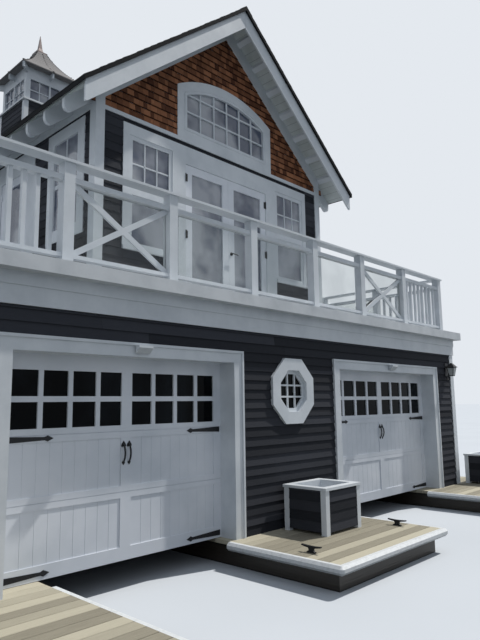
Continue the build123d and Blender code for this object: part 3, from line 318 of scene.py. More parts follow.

# %% [markdown]
# ### Glass
# The panes are float glass. The boat doors' panes have a dark room behind them and little sky to
# mirror, so they bend light less than real glass, which keeps the pale world out of them, and
# their near-black colour is painted shade of that room. The cabin's carry a painted reflection of
# the sky in cloudy patches. The railing's sheets are almost clear, with the same low bend, and
# the lantern's small panes are frosted.

# %% Glass
def float_glass(name, low, high, clear, bend, roughness=0.03):
    """Glass with clouds about 0.7 m wide between two tints, a painted reflection of the sky, and
    slow waves in its gloss.

    clear is the share of light let through, and bend is the index of refraction.
    """
    material, tree, place = blank(name)
    # Painted reflection: clouds of the sky between the two tints.
    painted_sky_clouds = add(tree, "ShaderNodeTexNoise", {"Vector": place, "Scale": 1.4, "Detail": 3.0})
    tint_and_painted_light = add(tree, "ShaderNodeValToRGB", {"Fac": painted_sky_clouds}, [(0.42, low), (0.58, high)])
    waves = add(tree, "ShaderNodeTexNoise", {"Vector": place, "Scale": 3.0, "Detail": 1.0})
    relief = add(tree, "ShaderNodeBump", {"Height": waves, "Strength": 0.08, "Distance": 0.001})
    shader = add(tree, "ShaderNodeBsdfPrincipled", {
        "Base Color": tint_and_painted_light, "Roughness": roughness, "IOR": bend, "Transmission Weight": clear,
        "Normal": relief})
    add(tree, "ShaderNodeOutputMaterial", {"Surface": shader})
    return material


# The boat doors' panes are drawn near-black: painted shade of the room behind them.
door_glass = float_glass("float_glass_painted_dark_room", "#0B0D10", "#1C2126", 0.3, 1.12)
# The cabin's panes carry a painted reflection of the sky.
cabin_glass = float_glass("float_glass_painted_sky", "#6A748B", "#D0D4DC", 0.5, 1.5)
rail_glass = float_glass("tempered_rail_glass", "#D9DCDC", "#E6E9E8", 0.98, 1.12)
frosted_glass = float_glass("frosted_lantern_glass", "#AEB4B4", "#C4C9C9", 0.2, 1.5, 0.45)

# %% [markdown]
# ### Roofing
# The roof has near-black asphalt shingles with a coat of mineral grit. The cupola has pale grey
# ones, with a dark line of painted shade along each course's butt. The grit is coarser here than
# the real 1.5 mm, so that it shows.

# %% Roofing
def asphalt(name, low, high, shade_row):
    """6 mm grit over a tone for each tab; a zero course height leaves out the painted shade."""
    material, tree, place = blank(name)
    grit = add(tree, "ShaderNodeTexVoronoi", {"Vector": place, "Scale": 160.0})
    tone = add(tree, "ShaderNodeAttribute", attribute_name="tone").outputs["Fac"]
    both = add(tree, "ShaderNodeMath", {0: tone, 1: grit}, operation="ADD")
    half_way = add(tree, "ShaderNodeMath", {0: both, 1: 0.5}, operation="MULTIPLY")
    ramp = add(tree, "ShaderNodeValToRGB", {"Fac": half_way}, [(0.1, low), (0.9, high)])
    colour = ramp.outputs[0]
    height, distance = grit, 0.001
    # Painted shade: a dark line along the butt at the foot of each course.
    if shade_row:
        level = add(tree, "ShaderNodeSeparateXYZ", {"Vector": place})
        count = add(tree, "ShaderNodeMath", {0: level.outputs["Z"], 1: 1.0 / shade_row},
                    operation="MULTIPLY")
        height = add(tree, "ShaderNodeMath", {0: count}, operation="FRACT")
        lip = add(tree, "ShaderNodeValToRGB", {"Fac": height},
                  [(0.0, "#55575A"), (0.12, "#FFFFFF")])
        colour = add(tree, "ShaderNodeMix", {0: 1.0, 6: colour, 7: lip}, data_type="RGBA",
                     blend_type="MULTIPLY").outputs[2]
        distance = 0.006
    relief = add(tree, "ShaderNodeBump", {"Height": height, "Strength": 0.6, "Distance": distance})
    shader = add(tree, "ShaderNodeBsdfPrincipled", {"Base Color": colour, "Roughness": 0.9,
                                                    "Specular IOR Level": 0.15, "Normal": relief})
    add(tree, "ShaderNodeOutputMaterial", {"Surface": shader})
    return material


black_asphalt = asphalt("near_black_asphalt", "#0E0F11", "#2E3034", 0)
grey_asphalt = asphalt("pale_grey_asphalt", "#7C7A7A", "#A9A6A5", 0.09)

# %% [markdown]
# ### A finish for every node
# Each record slot has its finish. A few nodes share a slot with plainer ones and get their own.
# The front gable is one of them: shingles cover it, and only its painted ends show.

# %% Finishes
finish = {
    "crib_timber": crib_wood, "dock_boards": dock_wood, "white_trim": trim_paint,
    "black_iron": iron_paint, "navy_siding": siding_stain, "cedar_shingles": cedar_oil,
    "white_doors": door_enamel, "clear_glass": cabin_glass, "deck_floor_boards": deck_paint,
    "roof_shingles": black_asphalt, "grey_shingles": grey_asphalt, "weathered_copper": copper,
    "planter_boards": trim_paint}
own_finish = {"roof_boards": soffit_paint_and_shade, "dock_bumpers": vinyl, "lower_glass": door_glass,
              "railing_glass": rail_glass, "cabin_front_gable": trim_paint}
for name, node in nodes.items():
    node.data.materials.clear()
    node.data.materials.append(own_finish.get(name, finish[slot_of[name]]))
print("finished nodes:", len(nodes))

# %% [markdown]
# ## Boards and bars
# Siding, shingles, roofing tabs and planks are all the same kind of thing: a short closed profile
# carried along a straight line. One function makes thousands of them at once as arrays, so each
# board is a real solid that throws its own shadow. A second one carries a section along any path,
# for ribs, levers and scrolls.

# %% Shapes as arrays
rng = np.random.default_rng(7)


def piece(name, points, faces, slot, tone=None, own=None):
    """A mesh from arrays, on the root body, with its slot's finish or its own, and its tones."""
    mesh = bpy.data.meshes.new(name)
    mesh.from_pydata(np.reshape(points, (-1, 3)).tolist(), [], faces)
    if tone is not None:
        layer = mesh.attributes.new("tone", "FLOAT", "POINT")
        layer.data.foreach_set("value", np.asarray(tone, np.float32))
    mesh.materials.append(own or finish[slot])
    thing = bpy.data.objects.new(name, mesh)
    bpy.context.scene.collection.objects.link(thing)
    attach(thing, "root")
    print(name, len(mesh.polygons), "faces")
    return thing


def boards(name, begin, run, up, profile, slot):
    """Closed profiles carried along lines, each with a random tone.

    A point is begin + s * run + a * up + b * out, where s is 0 or 1, (a, b) goes round the
    profile and out is the unit cross product of run and up. All boards are worked out together.
    """
    begin, run, profile = (np.asarray(v, float) for v in (begin, run, profile))
    up = np.broadcast_to(np.asarray(up, float), run.shape)
    out = np.cross(run, up)
    out = out / np.linalg.norm(out, axis=1, keepdims=True)
    ring = (begin[:, None] + profile[..., :1] * up[:, None] + profile[..., 1:] * out[:, None])
    points = np.stack([ring, ring + run[:, None]], axis=1)
    count, _, corners, _ = points.shape
    k = np.arange(corners)
    turn = (k + 1) % corners
    sides = np.stack([k, corners + k, corners + turn, turn], axis=1)
    base = np.arange(count) * 2 * corners
    faces = (base[:, None, None] + sides).reshape(-1, 4).tolist()
    faces += (base[:, None] + k).tolist() + (base[:, None] + corners + k[::-1]).tolist()
    return piece(name, points, faces, slot, np.repeat(rng.uniform(0, 1, count), 2 * corners))


def carry(path, across, section, taper=1.0):
    """Points and faces of a closed section carried along a path.

    A point is path(s) + a * taper(s) * across + b * normal(s), where (a, b) goes clockwise round
    the section and normal is the unit cross product of the path's direction and across.
    """
    path, section = np.asarray(path, float), np.asarray(section, float)
    across = np.broadcast_to(np.asarray(across, float), path.shape)
    normal = np.cross(np.gradient(path, axis=0), across)
    normal = normal / np.linalg.norm(normal, axis=1, keepdims=True)
    wide = np.broadcast_to(np.asarray(taper, float), len(path))[:, None, None]
    sideways = wide * section[:, :1] * across[:, None]
    points = path[:, None] + sideways + section[:, 1:] * normal[:, None]
    index = np.arange(points.shape[0] * points.shape[1]).reshape(points.shape[:2])
    turned = np.roll(index, -1, axis=1)
    sides = np.stack([index[:-1], index[1:], turned[1:], turned[:-1]], axis=-1).reshape(-1, 4)
    return points.reshape(-1, 3), sides.tolist() + [index[0].tolist(), index[-1][::-1].tolist()]


def together(parts):
    """Several meshes as one: each part's faces count on from the points before it."""
    points, faces, count = [], [], 0
    for more, own in parts:
        points.append(more)
        faces += [[count + k for k in face] for face in own]
        count += len(more)
    return np.concatenate(points), faces


def bar(width, thickness, ease):
    """A board's end, clockwise from its lower left: a rectangle whose outer edges are eased."""
    return [(0, 0), (0, thickness - ease), (ease, thickness), (width - ease, thickness),
            (width, thickness - ease), (width, 0)]


def rod(radius, count=10):
    """A circle's points, clockwise."""
    turn = -np.linspace(0, 2 * np.pi, count, endpoint=False)
    return np.stack([radius * np.cos(turn), radius * np.sin(turn)], axis=1)


def corners_of(name):
    """A node's lowest and highest corner as one array."""
    return np.array([list(v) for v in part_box(name)])


def points_of(name):
    """The places of a node's vertices, one row each."""
    flat = np.empty(3 * len(nodes[name].data.vertices))
    nodes[name].data.vertices.foreach_get("co", flat)
    return flat.reshape(-1, 3)


# %% [markdown]
# ## Lapped siding
# Each course is a bevel board, thick at its foot and thin at its head, so it throws a line of
# shadow on the course below. The courses of a wall share one set of levels, and a wall is given
# as rectangles that leave out what the casings cover. Boards are 2.2 to 4.4 m long, are tucked
# 12 mm under a casing's edge and end 110 mm from a corner, where the corner board stands.

# %% Courses of siding
lower_lo, lower_hi = corners_of("front_wall_ends")
left_casing = corners_of("left_door_casing")
right_casing = corners_of("right_door_casing")
window = corners_of("octagon_window")
frieze_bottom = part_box("frieze_ends")[0].z
dock_top = lower_lo[2]
head_top = left_casing[1, 2]
front_y = lower_lo[1]
course = (head_top - dock_top) / 19
head_edge = 0.005
shortest, longest, stub = 2.2, 4.4, 0.4
butt_gap = 0.002


def side_it(name, walls, base, exposure, lip=0.021):
    """Bevel boards on rectangles, each a corner, run direction, length, low and high level.

    The face leans evenly from the lip at a course's foot to its thin head, so a board that is
    cut short at a rectangle's edge keeps the same face. No end piece is shorter than a stub.
    """
    begin, run, profile = [], [], []
    for corner, direction, length, low, high in walls:
        direction = np.array(direction, float)
        first = int(np.floor((low - base) / exposure + 1e-6))
        last = int(np.ceil((high - base) / exposure - 1e-6))
        for level in base + exposure * np.arange(first, last):
            z0, z1 = max(level, low), min(level + exposure, high)
            cuts = np.cumsum(rng.uniform(shortest, longest, int(length / shortest) + 2))
            cuts = cuts - rng.uniform(0, shortest)
            inside = cuts[(cuts > stub) & (cuts < length - stub)]
            cuts = np.concatenate([[0.0], inside, [length]])
            depth = [lip + (head_edge - lip) * (z - level) / exposure for z in (z0, z1)]
            for s0, s1 in zip(cuts[:-1], cuts[1:]):
                begin.append([corner[0] + direction[0] * s0, corner[1] + direction[1] * s0, 0.0])
                run.append(direction * (s1 - s0 - butt_gap))
                profile.append([(z0, 0.0), (z0, depth[0]), (z1, depth[1]), (z1, 0.0)])
    return boards(name, begin, run, (0, 0, 1), profile, "navy_siding")


def span(x0, x1, low, high):
    """A rectangle of the front wall between two X values."""
    return ((x0, front_y), (1, 0, 0), x1 - x0, low, high)


tuck = 0.012
edge = 0.11
x_left, x_right = lower_lo[0] + edge, lower_hi[0] - edge
lower_top = frieze_bottom + tuck
clear_share = 0.674
hole = (window[1, 0] - window[0, 0]) / 2 * clear_share
eye_x, eye_z = window[:, 0].mean(), window[:, 2].mean()
bay_left, bay_right = left_casing[1, 0] - tuck, right_casing[0, 0] + tuck
front_walls = [
    span(x_left, left_casing[0, 0] + tuck, dock_top, head_top),
    span(bay_left, bay_right, dock_top, eye_z - hole),
    span(bay_left, eye_x - hole, eye_z - hole, eye_z + hole),
    span(eye_x + hole, bay_right, eye_z - hole, eye_z + hole),
    span(bay_left, bay_right, eye_z + hole, head_top),
    span(right_casing[1, 0] - tuck, x_right, dock_top, head_top),
    span(x_left, x_right, head_top, lower_top),
]
side_it("front_siding", front_walls, dock_top, course)
back_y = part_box("lower_back_wall")[1].y
long_side = back_y - front_y - 2 * edge
other_walls = [
    ((lower_lo[0], back_y - edge), (0, -1, 0), long_side, dock_top, lower_top),
    ((lower_hi[0], front_y + edge), (0, 1, 0), long_side, dock_top, lower_top),
    ((x_right, back_y), (-1, 0, 0), x_right - x_left, dock_top, lower_top),
]
side_it("lower_siding", other_walls, dock_top, course)

# %% [markdown]
# The cabin has the same siding up to the white band, but thinner, because its casings stand only
# 20 mm proud. On its front just the narrow stretches beside the surround and under its windows
# are left, and over the surround there is room for one plain board under the band.

# %% Cabin siding
cabin = corners_of("cabin_front_ends")
surround = corners_of("entry_frame")
band_low = corners_of("cabin_bands")[0, 2]
cabin_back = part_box("cabin_back_wall")[1].y
deck_top, cabin_y, cabin_half = cabin[0, 2], cabin[0, 1], cabin[1, 0]
cabin_top = band_low + tuck
entry_sill = 0.712
leg = 1.1435
sill_low = deck_top + entry_sill
cabin_lip = 0.014
cabin_walls = []
for x0, x1, low, high in (
        (-cabin_half + edge, surround[0, 0] + tuck, deck_top, cabin_top),
        (surround[0, 0] + tuck, -leg + tuck, deck_top, sill_low),
        (leg - tuck, surround[1, 0] - tuck, deck_top, sill_low),
        (surround[1, 0] - tuck, cabin_half - edge, deck_top, cabin_top)):
    cabin_walls.append(((x0, cabin_y), (1, 0, 0), x1 - x0, low, high))
face = points_of("side_windows")
face = face[face[:, 0] > face[:, 0].max() - 1e-4]
edges = np.unique(np.round(face[:, 1], 3)).reshape(-1, 4)
casings = []
for y0, y1 in edges[:, [0, 3]]:
    own = face[(face[:, 1] > y0 - 0.002) & (face[:, 1] < y1 + 0.002)]
    casings.append((y0, y1, own[:, 2].min(), own[:, 2].max()))
print("side casings:", np.round(casings, 3).tolist())


def round_casings(y0, y1, low, high):
    """Rectangles (y0, y1, low, high) of a side wall beside, under and over its casings."""
    parts, at = [], y0
    for c0, c1, z0, z1 in casings:
        parts.append((at, c0 + tuck, low, high))
        parts.append((c0 + tuck, c1 - tuck, z1, high))
        if z0 > low:
            parts.append((c0 + tuck, c1 - tuck, low, z0))
        at = c1 - tuck
    return parts + [(at, y1, low, high)]


cabin_course = entry_sill / 6
for y0, y1, low, high in round_casings(cabin_y + edge, cabin_back - edge, deck_top, cabin_top):
    if high - low > 0.02:
        cabin_walls.append(((cabin_half, y0), (0, 1, 0), y1 - y0, low, high))
        cabin_walls.append(((-cabin_half, y1), (0, -1, 0), y1 - y0, low, high))
back_half = cabin_half - edge
cabin_walls.append(((back_half, cabin_back), (-1, 0, 0), 2 * back_half, deck_top, cabin_top))
side_it("cabin_siding", cabin_walls, deck_top, cabin_course, cabin_lip)

strip_x = surround[0, 0] + tuck
strip_low = surround[1, 2] - tuck
boards("strip_board", [(strip_x, cabin_y, strip_low)], [(-2 * strip_x, 0, 0)], (0, 0, 1),
       [bar(cabin_top - strip_low, 0.008, 0.002)], "navy_siding")

# %% [markdown]
# ## Cedar shingles on the gables
# A shingler lays rows from the band up, each shingle a random width with a small gap beside it.
# A row ends under the sloping frieze at both sides and, at the front, under the arched casing.

# %% Shingle rows
slope = 10 / 12
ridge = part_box("roof_boards")[1].z
frieze_deep = 0.30
roof_thick = 0.03
arch = corners_of("arch_window")
arch_half = arch[1, 0]
arch_rise = 0.292
arch_spring = arch[1, 2] - arch_rise
arch_radius = (arch_half ** 2 + arch_rise ** 2) / (2 * arch_rise)
arch_centre = arch[1, 2] - arch_radius
least_width, most_width = 0.05, 0.125
shingle_gap = 0.004
butt, tip = 0.014, 0.003


def arch_reach(z):
    """Half the width of the arched casing at a height: straight, then along its circle."""
    curved = np.sqrt(np.maximum(arch_radius ** 2 - (z - arch_centre) ** 2, 0.0))
    return np.where(z < arch_spring, arch_half, curved)


def shingle_gable(name, y, facing, has_window):
    """Rows of shingles of random width between the rake friezes of one gable."""
    begin, profile, width = [], [], []
    top = ridge - frieze_deep
    for low in np.arange(band_top, top, shingle_row):
        high = min(low + shingle_row, top + 0.05)
        reach = (ridge - roof_thick - high + ridge - frieze_deep - low) / 2 / slope
        stretches = [(-reach, reach)]
        if has_window and low < arch[1, 2]:
            inner = max(float(arch_reach(high)) - 0.03, 0.0)
            stretches = [(-reach, -inner), (inner, reach)] if inner else stretches
        for x0, x1 in stretches:
            widths = rng.uniform(least_width, most_width, 120)
            cuts = x0 + np.concatenate([[0.0], np.cumsum(widths)])
            cuts = np.append(cuts[cuts < x1 - 0.03], x1)
            for c0, c1 in zip(cuts[:-1], cuts[1:]):
                foot = low + rng.uniform(-0.004, 0.004)
                begin.append([c0 if facing < 0 else -c0, y, 0.0])
                width.append(c1 - c0 - shingle_gap)
                profile.append([(foot, 0.0), (foot, butt), (high, tip), (high, 0.0)])
    run = np.outer(width, (-facing, 0.0, 0.0))
    return boards(name, begin, run, (0, 0, 1), profile, "cedar_shingles")


shingle_gable("front_shingles", cabin_y, -1, True)
shingle_gable("back_shingles", cabin_back, 1, False)

# %% [markdown]
# Where the arched casing meets its sash there is a bead 14 mm wide. It is one small bar carried
# along the arc, and three straight ones for the two sides and the sill.

# %% Bead of the arched window
casing_width = 0.150
bead_width = 0.014
bead = bar(bead_width, 0.008, 0.003)
bead_y = arch[0, 1] + 0.001
bead_half = arch_half - casing_width
bead_low = arch[0, 2] + casing_width
bead_radius = arch_radius - casing_width
turn = math.asin(bead_half / bead_radius)
theta = np.linspace(-turn, turn, 33)
outward = np.stack([np.sin(theta), np.zeros_like(theta), np.cos(theta)], axis=1)
bead_spring = arch_centre + bead_radius * math.cos(turn)
bead_outer, bead_sill = bead_half + bead_width, bead_low - bead_width
beads = [carry((0, bead_y, arch_centre) + bead_radius * outward, outward, bead)]
for x in (-bead_half, bead_outer):
    beads.append(carry([(x, bead_y, bead_low), (x, bead_y, bead_spring)], (-1, 0, 0), bead))
sill_line = [(-bead_outer, bead_y, bead_sill), (bead_outer, bead_y, bead_sill)]
beads.append(carry(sill_line, (0, 0, 1), bead))
piece("arch_bead", *together(beads), "white_trim")

# %% [markdown]
# ## Asphalt shingles on the roof
# The roofing is laid in rows with 143 mm showing. Tabs differ in width, and about two in three
# are doubled, so a row looks broken even where the colour is the same.

# %% Roof rows
cover = corners_of("roof_right")
lean = math.atan(slope)
eave_x = cover[1, 0]
cap_reach = 0.12
roof_rise = 0.06
slope_length = (eave_x - cap_reach) / math.cos(lean)
row_step = 0.143
row_lap = 0.01
least_tab, most_tab = 0.14, 0.36
single, double, doubled = 0.004, 0.009, 0.65
margin = 0.05
cupola_foot = corners_of("cupola_base")


def roof_side(name, side):
    """Tabs on one slope: rows up from the eave, out of the way of the cupola's base."""
    begin, run, profile = [], [], []
    up = np.array([-side * math.cos(lean), 0.0, math.sin(lean)])
    foot = np.array([side * eave_x, 0.0, ridge + roof_rise - eave_x * slope])
    for k in range(int(slope_length / row_step) + 1):
        low = k * row_step
        high = min(low + row_step + row_lap, slope_length)
        widths = rng.uniform(least_tab, most_tab, 140)
        cuts = cover[0, 1] + np.concatenate([[0.0], np.cumsum(widths)])
        cuts = np.append(cuts[cuts < cover[1, 1] - margin], cover[1, 1])
        middle_x = eave_x - (low + high) / 2 * math.cos(lean)
        for c0, c1 in zip(cuts[:-1], cuts[1:]):
            beside = c1 > cupola_foot[0, 1] + margin and c0 < cupola_foot[1, 1] - margin
            if not (beside and middle_x < cupola_foot[1, 0] - 0.06):
                thick = rng.choice((single, double), p=(1 - doubled, doubled))
                begin.append(foot + np.array([0.0, c0 if side > 0 else c1, 0.0]))
                run.append((0.0, side * (c1 - c0 - 0.003), 0.0))
                profile.append([(low, 0.0), (low, thick), (high, 0.003), (high, 0.0)])
    return boards(name, begin, run, up, profile, "roof_shingles")


roof_side("roof_tabs_right", 1)
roof_side("roof_tabs_left", -1)

# %% [markdown]
# ## The cupola
# Its dark base has the same lapped siding between white corner boards. The pale roof sweeps up
# like a bell, with a thin dark rib on each hip and one up the middle of each side. A rib is a
# small rectangle carried up the roof's own curve, which is read off the solid: at each level of
# its mesh the farthest vertex gives the curve's reach.

# %% Cupola siding and ribs
cupola_x, cupola_y = cupola_foot[:, 0].mean(), cupola_foot[:, 1].mean()
base_half = cupola_foot[1, 0] - cupola_x
base_low = ridge - 0.5
corner_board = 0.08
base_walls = []
for quarter in range(4):
    turn = math.radians(90 * quarter)
    direction = np.array([math.cos(turn), math.sin(turn), 0.0])
    outward = np.array([direction[1], -direction[0]])
    reach = base_half - corner_board
    corner = np.array([cupola_x, cupola_y]) + outward * base_half - direction[:2] * reach
    base_walls.append((corner, direction, 2 * reach, base_low, cupola_foot[1, 2]))
side_it("cupola_siding", base_walls, base_low, course, 0.013)

bell = points_of("cupola_roof")
levels = np.unique(np.round(bell[:, 2], 3))[1:]
reach = np.array([(bell[np.abs(bell[:, 2] - z) < 2e-3, 0] - cupola_x).max() for z in levels])
rib = [(-0.016, -0.004), (-0.016, 0.014), (0.016, 0.014), (0.016, -0.004)]
flat = np.zeros_like(reach)
side_line = np.stack([reach, flat, levels], axis=1)
hip_line = np.stack([reach, reach, levels], axis=1)
diagonal = math.sqrt(0.5)
centre = (cupola_x, cupola_y, 0.0)
spins = [np.array(Matrix.Rotation(math.radians(90 * quarter), 3, "Z")) for quarter in range(4)]
ribs = []
for spin in spins:
    ribs.append(carry(side_line @ spin.T + centre, spin @ (0, -1, 0), rib))
    ribs.append(carry(hip_line @ spin.T + centre, spin @ (diagonal, -diagonal, 0), rib))
piece("cupola_ribs", *together(ribs), "black_iron")

# %% [markdown]
# ## Window bars and door fittings
# The upper sashes beside the glazed doors have bars that make two rows of three panes. They lie
# on the glass, so they start from the sheets in the solid. The hinges are the solid's own plates,
# covered with black ones a millimetre larger, and a lever stands on a round rose.

# %% Sash bars
sheets = points_of("cabin_glass")
pane = sheets[(np.abs(sheets[:, 0]) > leg) & (np.abs(sheets[:, 0]) < surround[1, 0])
              & (sheets[:, 1] < cabin_y + 0.05) & (sheets[:, 2] < surround[1, 2])]
glass_y = pane[:, 1].min()
inner_x, outer_x = np.abs(pane[:, 0]).min(), np.abs(pane[:, 0]).max()
pane_low, pane_high = np.unique(np.round(pane[:, 2], 3))[-2:]
sash_bar = 0.022
begin, run, up = [], [], []
for side in (-1, 1):
    middle = side * (inner_x + outer_x) / 2
    third = (outer_x - inner_x) / 3
    for x in (middle - third / 2, middle + third / 2):
        begin.append((x + sash_bar / 2, glass_y, pane_low))
        run.append((0, 0, pane_high - pane_low))
        up.append((-1, 0, 0))
    begin.append((middle - 1.5 * third, glass_y, (pane_low + pane_high - sash_bar) / 2))
    run.append((3 * third, 0, 0))
    up.append((0, 0, 1))
boards("sash_bars", begin, run, up, [bar(sash_bar, 0.012, 0.004)] * len(begin), "white_trim")

# %% Hinges and lever
leaf = points_of("front_leaves")
plates = leaf[leaf[:, 1] < leaf[:, 1].min() + 1e-4]
plate_y = plates[:, 1].min()
heights = np.unique(np.round(plates[:, 2], 3)).reshape(-1, 2)
plate_x = np.unique(np.round(np.abs(plates[:, 0]), 4))[[0, -1]]
grow = 0.001
black = []
for side in (-1, 1):
    x0, x1 = sorted(side * plate_x)
    for z0, z1 in heights:
        line = [(x1 + grow, plate_y + 0.006, z) for z in (z0 - grow, z1 + grow)]
        black.append(carry(line, (-1, 0, 0), bar(x1 - x0 + 2 * grow, 0.007, 0.001)))
        pin = [(side * plate_x[1], plate_y - 0.004, z) for z in (z0 - 0.008, z1 + 0.008)]
        black.append(carry(pin, (-1, 0, 0), rod(0.0075)))
lever_x, lever_z, leaf_y = 0.055, 4.17, cabin_y - 0.010
rose = [(lever_x, leaf_y + 0.002, lever_z), (lever_x, leaf_y - 0.010, lever_z)]
neck = [(lever_x, leaf_y, lever_z), (lever_x, leaf_y - 0.050, lever_z)]
swing = np.linspace(0, 1, 6)[:, None]
grip = (lever_x, leaf_y - 0.044, lever_z) + swing * (0.11, -0.004, 0.0) - swing ** 2 * (0, 0, 0.012)
black.append(carry(rose, (1, 0, 0), rod(0.027, 16)))
black.append(carry(neck, (1, 0, 0), rod(0.009)))
black.append(carry(grip, (0, 0, 1), rod(0.0085)))
piece("door_fittings", *together(black), "black_iron")

# %% [markdown]
# The wall lantern has four panes that lean outwards under its hood, and a scroll under its body.
# A pane is a thin strip that widens as it rises. The scroll is a rod carried along a spiral.

# %% Lantern
lantern = points_of("wall_lantern")
body_low = lantern[:, 2].min()
foot = lantern[(lantern[:, 2] < body_low + 1e-3) & (lantern[:, 1] < front_y - 0.05)]
lamp_x, lamp_y = (foot.min(axis=0) + foot.max(axis=0))[:2] / 2
low_half, high_half, body_height = 0.040, 0.0675, 0.165
share = np.array([0.08, 0.92])
half_width = low_half + (high_half - low_half) * share
pane_line = np.stack([half_width, np.zeros(2), body_low + body_height * share], axis=1)
strip = [(-1, -0.001), (-1, 0.002), (1, 0.002), (1, -0.001)]
panes = []
for spin in spins:
    panes.append(carry(pane_line @ spin.T + (lamp_x, lamp_y, 0.0), spin @ (0, -1, 0), strip,
                       half_width - 0.011))
piece("lantern_panes", *together(panes), "clear_glass", own=frosted_glass)
angle = np.linspace(math.radians(130), math.radians(-330), 32)
radius = np.linspace(0.052, 0.014, 32)
scroll = np.stack([np.full(32, lamp_x), lamp_y + 0.062 + radius * np.cos(angle),
                   body_low - 0.035 + radius * np.sin(angle)], axis=1)
piece("lantern_scroll", *carry(scroll, (1, 0, 0), rod(0.006, 8)), "black_iron")

# %% [markdown]
# ## Boat door panels
# The four panels under a door's panes are boarded upright with V joints. Each board is a bar with
# eased edges that stands in the solid's recess, and the recesses are read from the door's own
# vertices.

# %% Panel boards
recess_depth = 0.012
panel_board = 0.132


def panel_boards(door):
    """Upright boards, about as wide as panel_board says, in the four panels of one door."""
    points = points_of(door)
    leaf_face = points[:, 1].min()
    recess = points[np.abs(points[:, 1] - leaf_face - recess_depth) < 5e-4]
    sides = np.unique(np.round(recess[:, 0], 3)).reshape(-1, 2)
    ends = np.unique(np.round(recess[:, 2], 3)).reshape(-1, 2)
    begin, run, profile = [], [], []
    for x0, x1 in sides:
        count = round((x1 - x0) / panel_board)
        width = (x1 - x0) / count
        for z0, z1 in ends:
            for k in range(count):
                begin.append((x1 - k * width, leaf_face + recess_depth, z0))
                run.append((0, 0, z1 - z0))
                profile.append(bar(width - 0.001, 0.0035, 0.003))
    return boards(door + "_panels", begin, run, (-1, 0, 0), profile, "white_doors")


panel_boards("left_boat_door")
panel_boards("right_boat_door")

# %% [markdown]
# Each bowed pull ends in a spade above and a smaller one below. A spade is a flat outline carried
# through its own thickness, 5 mm out from the leaf.

# %% Spades of the pulls
spade = np.array([(0, 0.04), (0.026, 0.006), (0.031, -0.012), (0.018, -0.026), (0, -0.014),
                  (-0.018, -0.026), (-0.031, -0.012), (-0.026, 0.006)])
pull_spread, pull_low, pull_high = 0.07, dock_top + 0.960, dock_top + 1.174
spades = []
for door in ("left_boat_door", "right_boat_door"):
    middle = corners_of(door)[:, 0].mean()
    leaf_face = corners_of(door)[0, 1]
    for x in (middle - pull_spread / 2, middle + pull_spread / 2):
        for z, outline in ((pull_high - 0.02, spade), (pull_low + 0.01, -0.6 * spade)):
            line = [(x, leaf_face + 0.001, z), (x, leaf_face - 0.005, z)]
            spades.append(carry(line, (1, 0, 0), outline))
piece("pull_spades", *together(spades), "black_iron")

# %% [markdown]
# ## Planters
# Between its white legs a planter has the wall's dark siding, four courses high, on all sides.

# %% Planter siding
tubs = points_of("planters")
tub_rim, leg_width, inset = 0.012, 0.075, 0.014
gap = leg_width - inset
planter_low = dock_top + 0.035
planter_walls = []
for chosen in (tubs[:, 0] < 3, tubs[:, 0] > 3):
    lo, hi = tubs[chosen].min(axis=0), tubs[chosen].max(axis=0)
    (x0, y0), (x1, y1) = lo[:2] + tub_rim + inset, hi[:2] - tub_rim - inset
    long, deep = x1 - x0 - 2 * gap, y1 - y0 - 2 * gap
    for corner, direction, length in (
            ((x0 + gap, y0), (1, 0, 0), long), ((x1, y0 + gap), (0, 1, 0), deep),
            ((x1 - gap, y1), (-1, 0, 0), long), ((x0, y1 - gap), (0, -1, 0), deep)):
        planter_walls.append((corner, direction, length, planter_low, hi[2] - 0.033))
side_it("planter_siding", planter_walls, planter_low, course, 0.0125)

# %% [markdown]
# ## Dock planks and deck boards
# The docks are laid with planks 136 mm wide and 10 mm apart, with eased edges. They take the place
# of the plain slabs, at the same size. The upper deck has thinner boards on its solid.

# %% Planks
docks = corners_of("docks")
bumper = corners_of("dock_bumpers")
plank_low, plank_high = docks[:, 2]
side_inner = bumper[1, 0]
finger_x0, finger_x1 = -1.36, 0.83
finger_y0, finger_y1 = front_y - 1.52, docks[1, 1] - 1.631
plank_step = 0.146
plank_gap = 0.010
plank_ease = 0.004


def lay(places, run, up, low, thickness):
    """Planks for rectangles: begin, run, up and profile, counted off across each rectangle."""
    begin, runs, ups, profile = [], [], [], []
    for corner, length, width in places:
        count = round(width / plank_step)
        step = width / count
        for k in range(count):
            begin.append((corner[0] + up[0] * k * step, corner[1] + up[1] * k * step, low))
            runs.append((run[0] * length, run[1] * length, 0))
            ups.append((*up, 0))
            profile.append(bar(step - plank_gap, thickness, min(plank_ease, thickness / 2)))
    return begin, runs, ups, profile


dock_length = docks[1, 1] - docks[0, 1]
side_width = docks[1, 0] - side_inner
thick = plank_high - plank_low
rows_along_x = lay([((side_inner, docks[0, 1]), side_width, dock_length),
                    ((docks[0, 0], docks[0, 1]), side_width, dock_length),
                    ((finger_x0, finger_y0), finger_x1 - finger_x0, finger_y1 - finger_y0)],
                   (1, 0), (0, 1), plank_low, thick)
back_x, back_start = side_inner - 0.01, docks[1, 1] - 1.62
rows_along_y = lay([((back_x, back_start), docks[1, 1] - back_start, 2 * back_x)],
                   (0, 1), (-1, 0), plank_low, thick)
planks = boards("dock_planks", *(first + more for first, more in zip(rows_along_x, rows_along_y)),
                "dock_boards")
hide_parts("docks")

